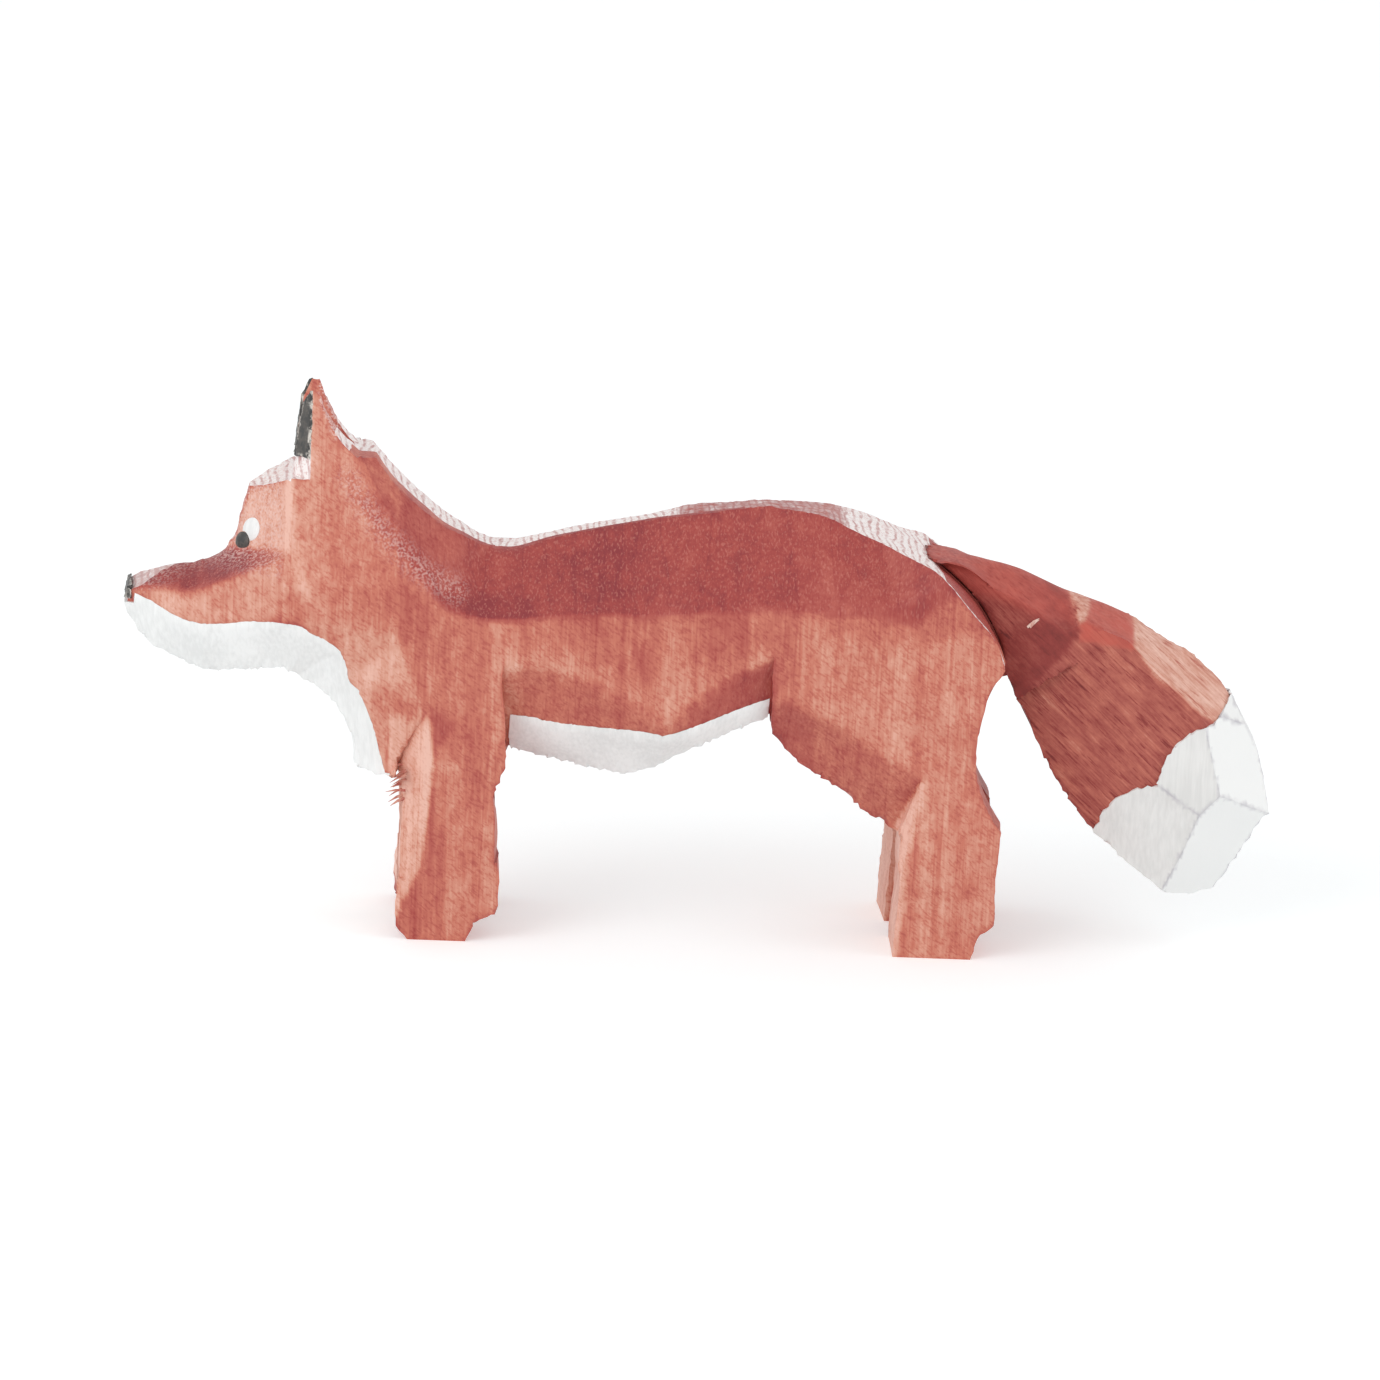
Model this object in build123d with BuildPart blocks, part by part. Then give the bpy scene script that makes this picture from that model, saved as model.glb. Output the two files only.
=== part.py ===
"""Carved wooden fox figurine.

A ring of softwood is turned to the outline of a fox and split into slices, and one slice is
shaped with flat knife strokes. The tail is carved from its own stick and glued into the rump.
Nose towards -X, tail towards +X, feet on Z = 0, the middle of the figure on Y = 0.
"""

import os
from math import cos, radians, sin, tan

from build123d import *

# Turned ring: the blank is one slice of it, thicker towards the tail
ring_radius = 130.0
slices_per_ring = 80

# Outline that the ring is turned to, as (x, z) in the middle of the slice
nose_top = (-29.65, 17.5)
bridge = (-26.25, 19.02)
stop = (-24.15, 20.4)
brow = (-23.65, 22.9)
ear_front_base = (-21.4, 23.8)
ear_front_tip = (-20.8, 28.15)
ear_back_tip = (-20.1, 28.15)
ear_back_hollow = (-19.22, 26.15)
ear_back_base = (-18.1, 24.95)
nape = (-17.2, 24.9)
nape_hollow = (-14.3, 22.0)
withers = (-10.7, 19.9)
back_rise = (-4.2, 21.6)
back_crest = (3.2, 22.8)
croup = (8.6, 21.6)
tail_set = (12.0, 20.1)
rump = (14.15, 18.0)
seat = (15.48, 15.3)
hock_hollow = (14.3, 11.1)
hock = (15.65, 6.9)
hind_heel_top = (15.65, 2.0)
hind_heel_notch = (14.8, 1.2)
hind_sole_back = (14.45, 0.0)
hind_sole_front = (10.4, 0.0)
hind_leg_front = (10.6, 6.3)
thigh_corner = (6.3, 8.95)
thigh_round = (4.6, 10.3)
flank = (3.6, 12.42)
belly_tuck = (0.9, 11.2)
belly_keel = (-2.2, 9.25)
belly_low = (-3.7, 8.82)
elbow = (-10.3, 9.75)
fore_leg_back = (-10.6, 8.2)
fore_leg_waist = (-10.1, 5.8)
fore_heel_top = (-10.1, 1.75)
fore_heel_notch = (-11.4, 0.95)
fore_sole_back = (-11.75, 0.0)
fore_sole_front = (-14.75, 0.0)
fore_toe = (-15.35, 0.8)
fore_leg_front = (-15.25, 8.8)
breast_back = (-15.9, 8.6)
breast = (-17.7, 8.75)
breast_round = (-18.38, 11.4)
throat_low = (-20.1, 13.15)
throat = (-21.5, 14.1)
jaw = (-25.5, 13.42)
chin = (-28.25, 14.55)
lip = (-29.88, 16.7)

# Knife strokes on the slice: corners of each facet's edge on its side, as (x, z),
# and the facet's slope below that side at each corner, in degrees
nape_edge = ((-19.0, 26.0), (-16.1, 20.9), (-14.8, 18.5), (-12.3, 17.0))
nape_slope = (23, 23, 23, 23)
nape_width = 2.5
back_edge = (
    (-17.9, 24.9),
    (-13.6, 18.0),
    (-12.0, 17.05),
    (-0.8, 17.8),
    (10.0, 18.35),
    (13.2, 20.5),
)
back_slope = (46, 48, 50, 42, 41, 41)
back_width = 6.0
belly_edge = ((3.7, 15.8), (-2.1, 11.8), (-7.4, 14.5), (-10.4, 14.95))
belly_slope = (22, 22, 22, 22)
belly_white_edge = ((3.7, 14.48), (-2.06, 11.52), (-8.2, 13.12), (-10.4, 13.3))
belly_white_slope = (40, 40, 40, 40)
thigh_edge = ((11.4, 9.6), (6.8, 12.4), (5.0, 13.35), (3.2, 13.45))
thigh_slope = (30, 30, 30, 30)
thigh_width = 6.0
thigh_wall = (-1.0, -3.4)
hind_chamfer_edge = ((10.35, 2.9), (11.0, 5.6), (11.4, 9.6))
hind_chamfer_slope = (45, 45, 45)
hind_chamfer_width = 0.7
fore_chamfer_edge = ((-14.8, 3.2), (-14.1, 7.0), (-14.0, 12.2))
fore_chamfer_slope = (40, 40, 40)
fore_chamfer_width = 1.5
chest_edge = ((-14.0, 12.2), (-16.0, 16.3), (-21.4, 16.75))
chest_slope = (16, 16, 16)
chest_width = 7.0
chest_wall = (-1.6, -3.1)
throat_white_edge = (
    (-16.0, 8.45),
    (-17.4, 13.0),
    (-18.5, 15.4),
    (-20.2, 16.45),
    (-22.6, 16.65),
    (-25.7, 15.85),
    (-27.3, 16.55),
    (-30.2, 17.85),
)
throat_white_slope = (30, 30, 30, 30, 30, 30, 30, 30)
throat_white_width = 3.15

# Head: tapered muzzle, brow, top of the muzzle and leaning ears
muzzle_edge = -21.4
muzzle_slope = 18
brow_slope = 48
roof_back = (-24.1, -0.6, 19.85)
roof_back_rise = 0.6
roof_front = (-26.0, -0.6, 18.55)
roof_front_rise = 0.15
roof_fall = 0.4
ear_lean_edge = 18.5
ear_lean = 14.5
ear_notch_floor = 25.0
ear_front_width = 0.34
ear_front_slope = 55
ear_front_reach = 2.5
ear_height = 12.0

# Gap sawn between the left and right legs
leg_gap_foot = 3.0
leg_gap_top = 2.0
leg_gap_height = 8.6

# Tail outline, as (x, z) in the middle of its stick
tail_thickness = 6.8
tail_root_top = (11.6, 20.35)
tail_root_mid = (15.6, 19.65)
tail_shoulder = (19.4, 18.2)
tail_back = (22.65, 16.98)
tail_crown = (25.4, 15.7)
tail_bend = (28.08, 12.68)
tail_tip = (29.88, 7.2)
tail_end_low = (27.3, 2.95)
tail_end_flat = (26.2, 2.85)
tail_under_tip = (24.8, 3.15)
tail_under_bend = (20.4, 6.55)
tail_under_mid = (18.6, 9.0)
tail_under_root = (15.85, 14.5)
tail_inside_low = (13.2, 14.6)
tail_inside_top = (10.4, 19.2)

# Knife strokes on the tail
tail_roof_edge = ((18.2, 18.3), (21.9, 16.7), (28.2, 10.8))
tail_roof_slope = (63, 63, 63)
tail_tip_roof_edge = ((25.9, 13.2), (27.2, 7.9), (27.5, 6.5))
tail_tip_roof_slope = (42, 42, 42)
tail_low_edge = ((28.6, 5.5), (24.0, 9.1), (19.5, 15.6))
tail_low_slope = (15, 15, 15)
tail_end_edge = ((28.6, 10.4), (22.35, 3.1))
tail_end_slope = (36, 36)
tail_root_edge = ((16.2, 13.0), (18.9, 16.0), (19.5, 18.6))
tail_root_slope = (13, 13, 13)
tail_root_top_edge = ((10.5, 19.3), (15.0, 18.6), (18.8, 17.2))
tail_root_top_slope = (40, 40, 40)
tail_root_top_width = 2.5

# Tail joint: a whittled tenon in a bored socket, with glue all round it
tenon_tilt = 25
tenon_radius = 1.2
tenon_length = 4.0
tenon_shoulder = 1.5
tenon_clearance = 0.1
glue_film = 0.1

# Paint
coat = 0.12
eye_place = (-23.45, 21.05)
eye_radius = 0.7
eye_height = 0.22
eye_rim = 0.06
pupil_place = (-23.8, 20.35)
pupil_radius = 0.5
pupil_height = 0.3
pupil_rim = 0.14
drop_sunk = 0.4
nose_paint_edge = (-29.5, 16.75)
lip_paint_top = (-29.5, 17.3)
belly_paint_edge = ((3.48, 13.9), (-2.06, 11.7), (-8.3, 12.3), (-10.15, 12.3))
ear_paint_foot = 24.8
tail_paint_top = (29.0, 14.8)
tail_paint_upper = (26.7, 12.2)
tail_paint_upper_round = (24.8, 11.1)
tail_paint_middle = (24.0, 9.0)
tail_paint_lower_round = (22.2, 8.5)
tail_paint_lower = (20.8, 6.2)
tail_paint_under = (20.4, 4.0)

# Reach of a stroke's waste past its edge, how far it stands clear of the blank,
# and how far above a facet a second stroke across it starts
stroke_reach = 9.0
clear = 6.0
stroke_lead = 0.05

half_angle = 180 / slices_per_ring
turn = radians(half_angle)
slice_side = Plane(
    origin=(ring_radius * cos(turn) - ring_radius, -ring_radius * sin(turn), 0),
    x_dir=(cos(turn), -sin(turn), 0),
    z_dir=(-sin(turn), -cos(turn), 0),
)
tail_side = Plane(origin=(0, -tail_thickness / 2, 0), x_dir=(1, 0, 0), z_dir=(0, -1, 0))
ring_axis = Axis((-ring_radius, 0, 0), (0, 0, 1))
upright = (0, -1)
ear_corner = ear_front_tip[0] + ear_front_width


def spot(side, place, depth=0.0):
    """Point at (x, z) on the side of a blank, or sunk below that side by depth."""
    return side.origin + side.x_dir * place[0] + side.y_dir * place[1] - side.z_dir * depth


def knife_run(
    side,
    edge,
    slopes,
    reach=stroke_reach,
    depths=None,
    first_wall=None,
    last_wall=None,
    lift=0.0,
):
    """Waste of a run of flat strokes along an edge, which keeps the waste on its left."""
    depths = depths or (0,) * len(edge)
    corners = [spot(side, place, depth) for place, depth in zip(edge, depths)]
    aims = [side.z_dir.cross(b - a).normalized() for a, b in zip(corners, corners[1:])]
    walls = [aims[0]] + [(a + b).normalized() for a, b in zip(aims, aims[1:])] + [aims[-1]]
    aims.append(aims[-1])
    if first_wall:
        walls[0] = (side.x_dir * first_wall[0] + side.y_dir * first_wall[1]).normalized()
    if last_wall:
        walls[-1] = (side.x_dir * last_wall[0] + side.y_dir * last_wall[1]).normalized()
    with BuildPart() as waste:
        for corner, wall, aim, slope in zip(corners, walls, aims, slopes):
            far = reach / wall.dot(aim)
            top = lift / cos(radians(slope))
            fall = reach * tan(radians(slope))
            with BuildSketch(Plane(origin=corner, x_dir=wall, z_dir=wall.cross(side.z_dir))):
                with BuildLine():
                    Polyline((0, top), (far, top - fall), (far, clear), (0, clear), close=True)
                make_face()
        loft(ruled=True)
    return waste.part


def muzzle_depth(x):
    """How far the tapered side of the muzzle lies below the side of the slice."""
    return max(0.0, muzzle_edge - x) * tan(radians(muzzle_slope))


def facet_depth(edge, slope, place):
    """How far facets that fall away from an edge lie below the side of the slice at (x, z)."""
    across = []
    for (x1, z1), (x2, z2) in zip(edge, edge[1:]):
        run = Vector(x2 - x1, z2 - z1)
        across.append(run.cross(Vector(place[0] - x1, place[1] - z1)).Z / run.length)
    return max(0.0, min(across)) * tan(radians(slope))


def lean_depth(z):
    """How far the plane of the leaning outer side of the ear lies below the side of the slice."""
    return (z - ear_lean_edge) * tan(radians(ear_lean))


def ear_depth(z):
    """How far the head is cut back at a height, which starts at the foot of the ear's lean."""
    return max(0.0, lean_depth(z))


def face_strokes(lift):
    """Strokes that shape the near side of the head."""
    cheek = ((muzzle_edge, breast[1]), (muzzle_edge, ear_front_tip[1]))
    brow_depths = [lean_depth(z) - stroke_lead for _, z in cheek]
    with BuildPart() as brow_waste:
        add(knife_run(slice_side, cheek, (brow_slope, brow_slope), depths=brow_depths))
        split(bisect_by=Plane(origin=roof_back, z_dir=(-roof_back_rise, -roof_fall, 1)), keep=Keep.TOP)
        split(bisect_by=Plane(origin=roof_front, z_dir=(-roof_front_rise, -roof_fall, 1)), keep=Keep.TOP)
    ear_line = ((brow[0], ear_lean_edge), (withers[0], ear_lean_edge))
    ear_front = ((ear_corner, ear_front_base[1]), (ear_corner, ear_front_tip[1] + clear))
    ear_depths = [ear_depth(z) - stroke_lead for _, z in ear_front]
    return [
        knife_run(slice_side, cheek, (muzzle_slope, muzzle_slope)),
        brow_waste.part,
        knife_run(slice_side, ear_line, (ear_lean, ear_lean), ear_height),
        knife_run(slice_side, ear_front, (ear_front_slope,) * 2, ear_front_reach, ear_depths, lift=lift),
    ]


def body_strokes(lift):
    """Strokes on the near side of the slice; the painted ones are raised by lift."""
    throat_sunk = [
        max(muzzle_depth(place[0]), facet_depth(chest_edge, chest_slope[0], place))
        for place in throat_white_edge
    ]
    nape_sunk = [ear_depth(z) for _, z in nape_edge]
    back_sunk = [
        ear_depth(place[1]) + facet_depth(nape_edge, nape_slope[0], place) for place in back_edge[:2]
    ]
    back_sunk += [0.0] * len(back_edge[2:])
    throat_depths, nape_depths, back_depths = [
        [depth - stroke_lead for depth in sunk] for sunk in (throat_sunk, nape_sunk, back_sunk)
    ]
    return face_strokes(lift) + [
        knife_run(slice_side, back_edge, back_slope, back_width, back_depths),
        knife_run(slice_side, nape_edge, nape_slope, nape_width, nape_depths),
        knife_run(slice_side, belly_edge, belly_slope, first_wall=upright, last_wall=upright),
        knife_run(
            slice_side,
            belly_white_edge,
            belly_white_slope,
            first_wall=upright,
            last_wall=upright,
            lift=lift,
        ),
        knife_run(slice_side, thigh_edge, thigh_slope, thigh_width, first_wall=thigh_wall, last_wall=upright),
        knife_run(
            slice_side,
            hind_chamfer_edge,
            hind_chamfer_slope,
            hind_chamfer_width,
            last_wall=thigh_wall,
        ),
        knife_run(
            slice_side,
            fore_chamfer_edge,
            fore_chamfer_slope,
            fore_chamfer_width,
            last_wall=chest_wall,
        ),
        knife_run(slice_side, chest_edge, chest_slope, chest_width, first_wall=chest_wall),
        knife_run(
            slice_side,
            throat_white_edge,
            throat_white_slope,
            throat_white_width,
            depths=throat_depths,
            lift=lift,
        ),
    ]


def carve_body(lift=0.0):
    """The slice of the ring after all its strokes, with painted surfaces raised by lift."""
    wastes = body_strokes(lift)
    with BuildPart() as carved:
        with BuildSketch(slice_side):
            with BuildLine():
                Polyline(nose_top, bridge, stop, brow, ear_front_base, ear_front_tip, ear_back_tip)
                ThreePointArc(ear_back_tip, ear_back_hollow, ear_back_base)
                Line(ear_back_base, nape)
                ThreePointArc(nape, nape_hollow, withers)
                ThreePointArc(withers, back_rise, back_crest)
                ThreePointArc(back_crest, croup, tail_set)
                ThreePointArc(tail_set, rump, seat)
                ThreePointArc(seat, hock_hollow, hock)
                Polyline(hock, hind_heel_top, hind_heel_notch, hind_sole_back, hind_sole_front)
                Polyline(hind_sole_front, hind_leg_front, thigh_corner)
                ThreePointArc(thigh_corner, thigh_round, flank)
                Polyline(flank, belly_tuck, belly_keel, belly_low, elbow)
                ThreePointArc(elbow, fore_leg_back, fore_leg_waist)
                Polyline(fore_leg_waist, fore_heel_top, fore_heel_notch, fore_sole_back, fore_sole_front)
                Polyline(fore_sole_front, fore_toe, fore_leg_front, breast_back, breast)
                ThreePointArc(breast, breast_round, throat_low)
                Polyline(throat_low, throat, jaw)
                ThreePointArc(jaw, chin, lip)
                Line(lip, nose_top)
            make_face()
            if lift:
                offset(amount=lift)
        revolve(axis=ring_axis, revolution_arc=2 * half_angle)
        add(wastes, mode=Mode.SUBTRACT)
        mirror(wastes, about=Plane.XZ, mode=Mode.SUBTRACT)
        with BuildSketch(Plane.YZ.offset(breast_back[0])):
            with BuildLine():
                Polyline(
                    (-leg_gap_foot / 2, -clear),
                    (-leg_gap_foot / 2, 0),
                    (-leg_gap_top / 2, leg_gap_height),
                    (leg_gap_top / 2, leg_gap_height),
                    (leg_gap_foot / 2, 0),
                    (leg_gap_foot / 2, -clear),
                    close=True,
                )
            make_face()
        extrude(amount=hock[0] - breast_back[0] + clear, mode=Mode.SUBTRACT)
        ear_tip_half = -spot(slice_side, ear_front_tip, ear_depth(ear_front_tip[1])).Y
        with BuildSketch(Plane.YZ.offset(ear_front_base[0] - coat)):
            with BuildLine():
                Polyline(
                    (0, ear_notch_floor),
                    (ear_tip_half, ear_front_tip[1]),
                    (ear_tip_half, ear_front_tip[1] + clear),
                    (-ear_tip_half, ear_front_tip[1] + clear),
                    (-ear_tip_half, ear_front_tip[1]),
                    close=True,
                )
            make_face()
        extrude(amount=ear_back_base[0] - ear_front_base[0] + 2 * coat, mode=Mode.SUBTRACT)
    return carved.part


def carve_tail(lift=0.0):
    """The tail's stick after its strokes, with its root still running into the body."""
    wastes = [
        knife_run(tail_side, tail_roof_edge, tail_roof_slope, lift=lift),
        knife_run(tail_side, tail_tip_roof_edge, tail_tip_roof_slope, lift=lift),
        knife_run(tail_side, tail_low_edge, tail_low_slope, lift=lift),
        knife_run(tail_side, tail_end_edge, tail_end_slope, lift=lift),
        knife_run(tail_side, tail_root_edge, tail_root_slope),
        knife_run(tail_side, tail_root_top_edge, tail_root_top_slope, tail_root_top_width),
    ]
    with BuildPart() as carved:
        with BuildSketch(Plane.XZ):
            with BuildLine():
                ThreePointArc(tail_root_top, tail_root_mid, tail_shoulder)
                ThreePointArc(tail_shoulder, tail_back, tail_crown)
                ThreePointArc(tail_crown, tail_bend, tail_tip)
                Polyline(tail_tip, tail_end_low, tail_end_flat, tail_under_tip, tail_under_bend)
                Polyline(tail_under_bend, tail_under_mid, tail_under_root)
                Polyline(tail_under_root, tail_inside_low, tail_inside_top, tail_root_top)
            make_face()
            if lift:
                offset(amount=lift)
        extrude(amount=tail_thickness / 2 + lift, both=True)
        add(wastes, mode=Mode.SUBTRACT)
        mirror(wastes, about=Plane.XZ, mode=Mode.SUBTRACT)
    return carved.part


def brow_plane(place):
    """Plane on the near side of the brow at (x, z), facing out of it."""
    fall = tan(radians(brow_slope))
    depth = lean_depth(place[1]) - stroke_lead + (muzzle_edge - place[0]) * fall
    outwards = slice_side.z_dir - slice_side.x_dir * fall + slice_side.y_dir * tan(radians(ear_lean))
    upwards = slice_side.y_dir - outwards * (outwards.Z / outwards.length**2)
    return Plane(origin=spot(slice_side, place, depth), x_dir=upwards, z_dir=outwards)


def paint_drop(place, radius, height, rim):
    """Domed drop of paint on the near side of the brow, let a little way into it."""
    brow_face = brow_plane(place)
    dome = height - rim
    with BuildPart() as drop:
        with BuildSketch(Plane(brow_face.origin, x_dir=brow_face.x_dir, z_dir=-brow_face.y_dir)):
            with BuildLine():
                RadiusArc((0, height), (radius, rim), (radius**2 + dome**2) / (2 * dome))
                Polyline((radius, rim), (radius, -drop_sunk), (0, -drop_sunk), (0, height))
            make_face()
        revolve(axis=Axis(brow_face.origin, brow_face.z_dir))
    return drop.part


def paint_block(*corners):
    """Block through the figure behind a painted region, whose corners are given as (x, z)."""
    with BuildPart() as block:
        with BuildSketch(Plane.XZ):
            with BuildLine():
                Polyline(*corners, close=True)
            make_face()
        extrude(amount=ring_radius, both=True)
    return block.part


body_wood = carve_body()
tail_wood = carve_tail()

with BuildPart() as body_skin:
    add(carve_body(coat))
    add(body_wood, mode=Mode.SUBTRACT)

with BuildPart() as tail_skin:
    add(carve_tail(coat))
    add(tail_wood, mode=Mode.SUBTRACT)

tenon_plane = Plane(
    origin=(rump[0], 0, rump[1]),
    x_dir=(0, 1, 0),
    z_dir=(-cos(radians(tenon_tilt)), 0, -sin(radians(tenon_tilt))),
)
pieces = {}

with BuildPart() as socket:
    with BuildSketch(tenon_plane.offset(-tenon_shoulder)):
        Circle(tenon_radius + tenon_clearance)
    extrude(amount=tenon_shoulder + tenon_length + tenon_clearance)

with BuildPart() as body:
    add(body_wood)
    add(socket.part, mode=Mode.SUBTRACT)
pieces["body"] = body

body_with_film = body_wood.moved(Location(tenon_plane.z_dir * -glue_film))

with BuildPart() as tail:
    add(tail_wood)
    add([body_wood, body_with_film], mode=Mode.SUBTRACT)
    with BuildSketch(tenon_plane.offset(-tenon_shoulder)):
        Circle(tenon_radius)
    extrude(amount=tenon_shoulder + tenon_length)
pieces["tail"] = tail

with BuildPart() as tail_glue:
    add(tail_wood)
    add(body_with_film, mode=Mode.INTERSECT)
    add(socket.part)
    add([body.part, tail.part], mode=Mode.SUBTRACT)
pieces["tail_glue"] = tail_glue

nose_block = (nose_paint_edge[0] - clear, nose_paint_edge[1])
with BuildPart() as throat_white_coat:
    add(
        paint_block(
            *throat_white_edge[:-1],
            lip_paint_top,
            nose_paint_edge,
            nose_block,
            (nose_block[0], 0),
            (throat_white_edge[0][0], 0),
        )
    )
    add(body_skin.part, mode=Mode.INTERSECT)
pieces["throat_white_coat"] = throat_white_coat

with BuildPart() as nose_black_coat:
    add(
        paint_block(
            nose_paint_edge,
            nose_block,
            (nose_block[0], ear_front_tip[1]),
            (nose_paint_edge[0], ear_front_tip[1]),
        )
    )
    add(body_skin.part, mode=Mode.INTERSECT)
pieces["nose_black_coat"] = nose_black_coat

with BuildPart() as belly_white_coat:
    add(
        paint_block(
            *belly_paint_edge,
            (belly_paint_edge[-1][0], elbow[1] - coat),
            (belly_low[0], belly_low[1] - clear),
            (belly_paint_edge[0][0], flank[1] - 2 * coat),
        )
    )
    add(body_skin.part, mode=Mode.INTERSECT)
pieces["belly_white_coat"] = belly_white_coat

with BuildPart() as tail_tip_white_coat:
    with BuildSketch(Plane.XZ):
        with BuildLine():
            Line(tail_paint_top, tail_paint_upper)
            ThreePointArc(tail_paint_upper, tail_paint_upper_round, tail_paint_middle)
            ThreePointArc(tail_paint_middle, tail_paint_lower_round, tail_paint_lower)
            Polyline(
                tail_paint_lower,
                tail_paint_under,
                (tail_paint_under[0], 0),
                (tail_tip[0] + clear, 0),
                (tail_tip[0] + clear, tail_paint_top[1]),
                tail_paint_top,
            )
        make_face()
    extrude(amount=ring_radius, both=True)
    add(tail_skin.part, mode=Mode.INTERSECT)
pieces["tail_tip_white_coat"] = tail_tip_white_coat

with BuildPart() as left_ear_black_coat:
    add(
        paint_block(
            (ear_corner, ear_paint_foot),
            (ear_corner, ear_front_tip[1] + clear),
            (brow[0], ear_front_tip[1] + clear),
            (brow[0], ear_paint_foot),
        )
    )
    add(body_skin.part, mode=Mode.INTERSECT)
    split(bisect_by=Plane.XZ, keep=Keep.TOP)
pieces["left_ear_black_coat"] = left_ear_black_coat

with BuildPart() as left_eye_white:
    add(paint_drop(eye_place, eye_radius, eye_height, eye_rim))
    add(body_wood, mode=Mode.SUBTRACT)
    with BuildSketch(brow_plane(pupil_place)):
        Circle(pupil_radius)
    extrude(amount=clear, both=True, mode=Mode.SUBTRACT)
pieces["left_eye_white"] = left_eye_white

with BuildPart() as left_pupil:
    add(paint_drop(pupil_place, pupil_radius, pupil_height, pupil_rim))
    add(body_wood, mode=Mode.SUBTRACT)
pieces["left_pupil"] = left_pupil

for name in ("ear_black_coat", "eye_white", "pupil"):
    with BuildPart() as right_piece:
        mirror(pieces[f"left_{name}"].part, about=Plane.XZ)
    pieces[f"right_{name}"] = right_piece

os.makedirs("parts", exist_ok=True)
for name, piece in pieces.items():
    piece.part.label = name
    export_step(piece.part, f"parts/{name}.step")
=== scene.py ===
"""Looks of a carved wooden fox: stained softwood with torn edges, brushed paint, white studio."""

import math
import random

import bmesh
import bpy
import numpy as np
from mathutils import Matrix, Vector, kdtree


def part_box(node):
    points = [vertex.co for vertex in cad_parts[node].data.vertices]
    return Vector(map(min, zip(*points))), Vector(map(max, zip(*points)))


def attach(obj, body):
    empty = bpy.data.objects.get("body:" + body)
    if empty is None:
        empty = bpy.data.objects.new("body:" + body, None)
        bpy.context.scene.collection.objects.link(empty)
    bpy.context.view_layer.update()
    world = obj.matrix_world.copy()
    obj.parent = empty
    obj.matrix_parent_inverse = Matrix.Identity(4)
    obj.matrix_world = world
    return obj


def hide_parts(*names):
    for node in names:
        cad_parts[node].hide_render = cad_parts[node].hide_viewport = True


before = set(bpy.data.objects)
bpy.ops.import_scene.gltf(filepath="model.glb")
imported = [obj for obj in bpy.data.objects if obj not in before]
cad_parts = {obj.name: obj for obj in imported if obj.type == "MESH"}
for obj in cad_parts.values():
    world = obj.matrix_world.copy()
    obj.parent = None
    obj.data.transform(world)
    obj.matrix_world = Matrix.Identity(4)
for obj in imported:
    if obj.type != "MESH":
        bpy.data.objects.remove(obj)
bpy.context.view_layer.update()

MM = 0.001
rng = random.Random(7)

# Knife lines that the real hand cut in one sweep, as (x, z) corners in mm
throat_line = (
    (-16.0, 8.45),
    (-17.4, 13.0),
    (-18.5, 15.4),
    (-20.2, 16.45),
    (-22.6, 16.65),
    (-25.7, 15.85),
    (-27.3, 16.55),
    (-30.2, 17.85),
)
nape_line = ((-19.0, 26.0), (-16.1, 20.9), (-14.8, 18.5), (-12.0, 17.05))
back_line = nape_line + ((-0.8, 17.8), (10.0, 18.35), (13.2, 20.5))
thigh_line = ((11.4, 9.6), (6.8, 12.4), (5.0, 13.35), (3.2, 13.45))
top_line = ((-15.8, 23.3), (-14.3, 22.0), (-12.58, 20.83), (-10.7, 19.9), (-7.5, 20.8), (-4.2, 21.6))
sweep_width = 1.3
sweep_reach = 1.3
sweep_step = 0.1

# Wall behind the fore leg, which leans back towards the belly, as (x, z) and the lean at each
wall_line = ((-10.4, 15.0), (-10.4, 9.6), (-10.4, 7.9))
wall_lean = (0.0, 0.45, 0.0)
wall_reach = 1.2

# Back of the fore leg: its place in x below and above a bend, and the wood behind it that is trimmed off
leg_back, leg_back_step, leg_back_bend = -10.22, -0.16, (3.0, 5.0)
trimmed_end, trimmed_top = -9.7, 7.9

# Ridge of the tail's top, as (x, z), and how steeply it falls to both sides at the root and behind it
tail_ridge_line = ((11.6, 20.4), (14.3, 20.25), (16.7, 19.67), (19.0, 18.66), (22.6, 17.12), (26.0, 15.18))
root_fall, tail_fall = 0.5, 0.22

# Stretches in x where the fall starts and changes and the ridge starts and ends, and what counts as top:
# how far a face has to look up, and how high it has to lie
fall_start, fall_change = (13.0, 15.0), (18.8, 19.6)
ridge_start, ridge_end = (11.3, 11.6), (26.0, 24.5)
top_facing, top_low = 0.75, 13

# Borders of the stain on the body, as (x, z) in mm
fore_chamfer_line = ((-15.0, 2.2), (-14.3, 3.9), (-14.0, 6.5), (-13.8, 9.7), (-13.9, 12.1))
hind_chamfer_line = ((10.5, 0.0), (10.75, 2.9), (11.2, 7.0), (11.55, 9.4))
hind_front_line = ((10.1, 0.0), (10.1, 6.1), (11.25, 9.4))
belly_bevel_line = (
    (3.9, 15.55),
    (1.5, 14.8),
    (-0.6, 13.3),
    (-2.2, 12.4),
    (-3.0, 12.85),
    (-5.8, 13.9),
    (-8.2, 14.5),
    (-10.4, 14.55),
)
croup_patch = ((5.8, 18.0), (10.5, 17.7), (13.0, 19.6), (10.9, 20.9), (8.1, 22.2))
chest_line = ((-14.0, 12.2), (-16.0, 16.3), (-21.4, 16.75))
cheek_line = ((-21.5, 24.2), (-21.4, 21.9), (-21.0, 19.3), (-20.4, 17.7))
muzzle_ridge = ((-29.2, 17.7), (-26.2, 19.0), (-24.2, 20.3))
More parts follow.
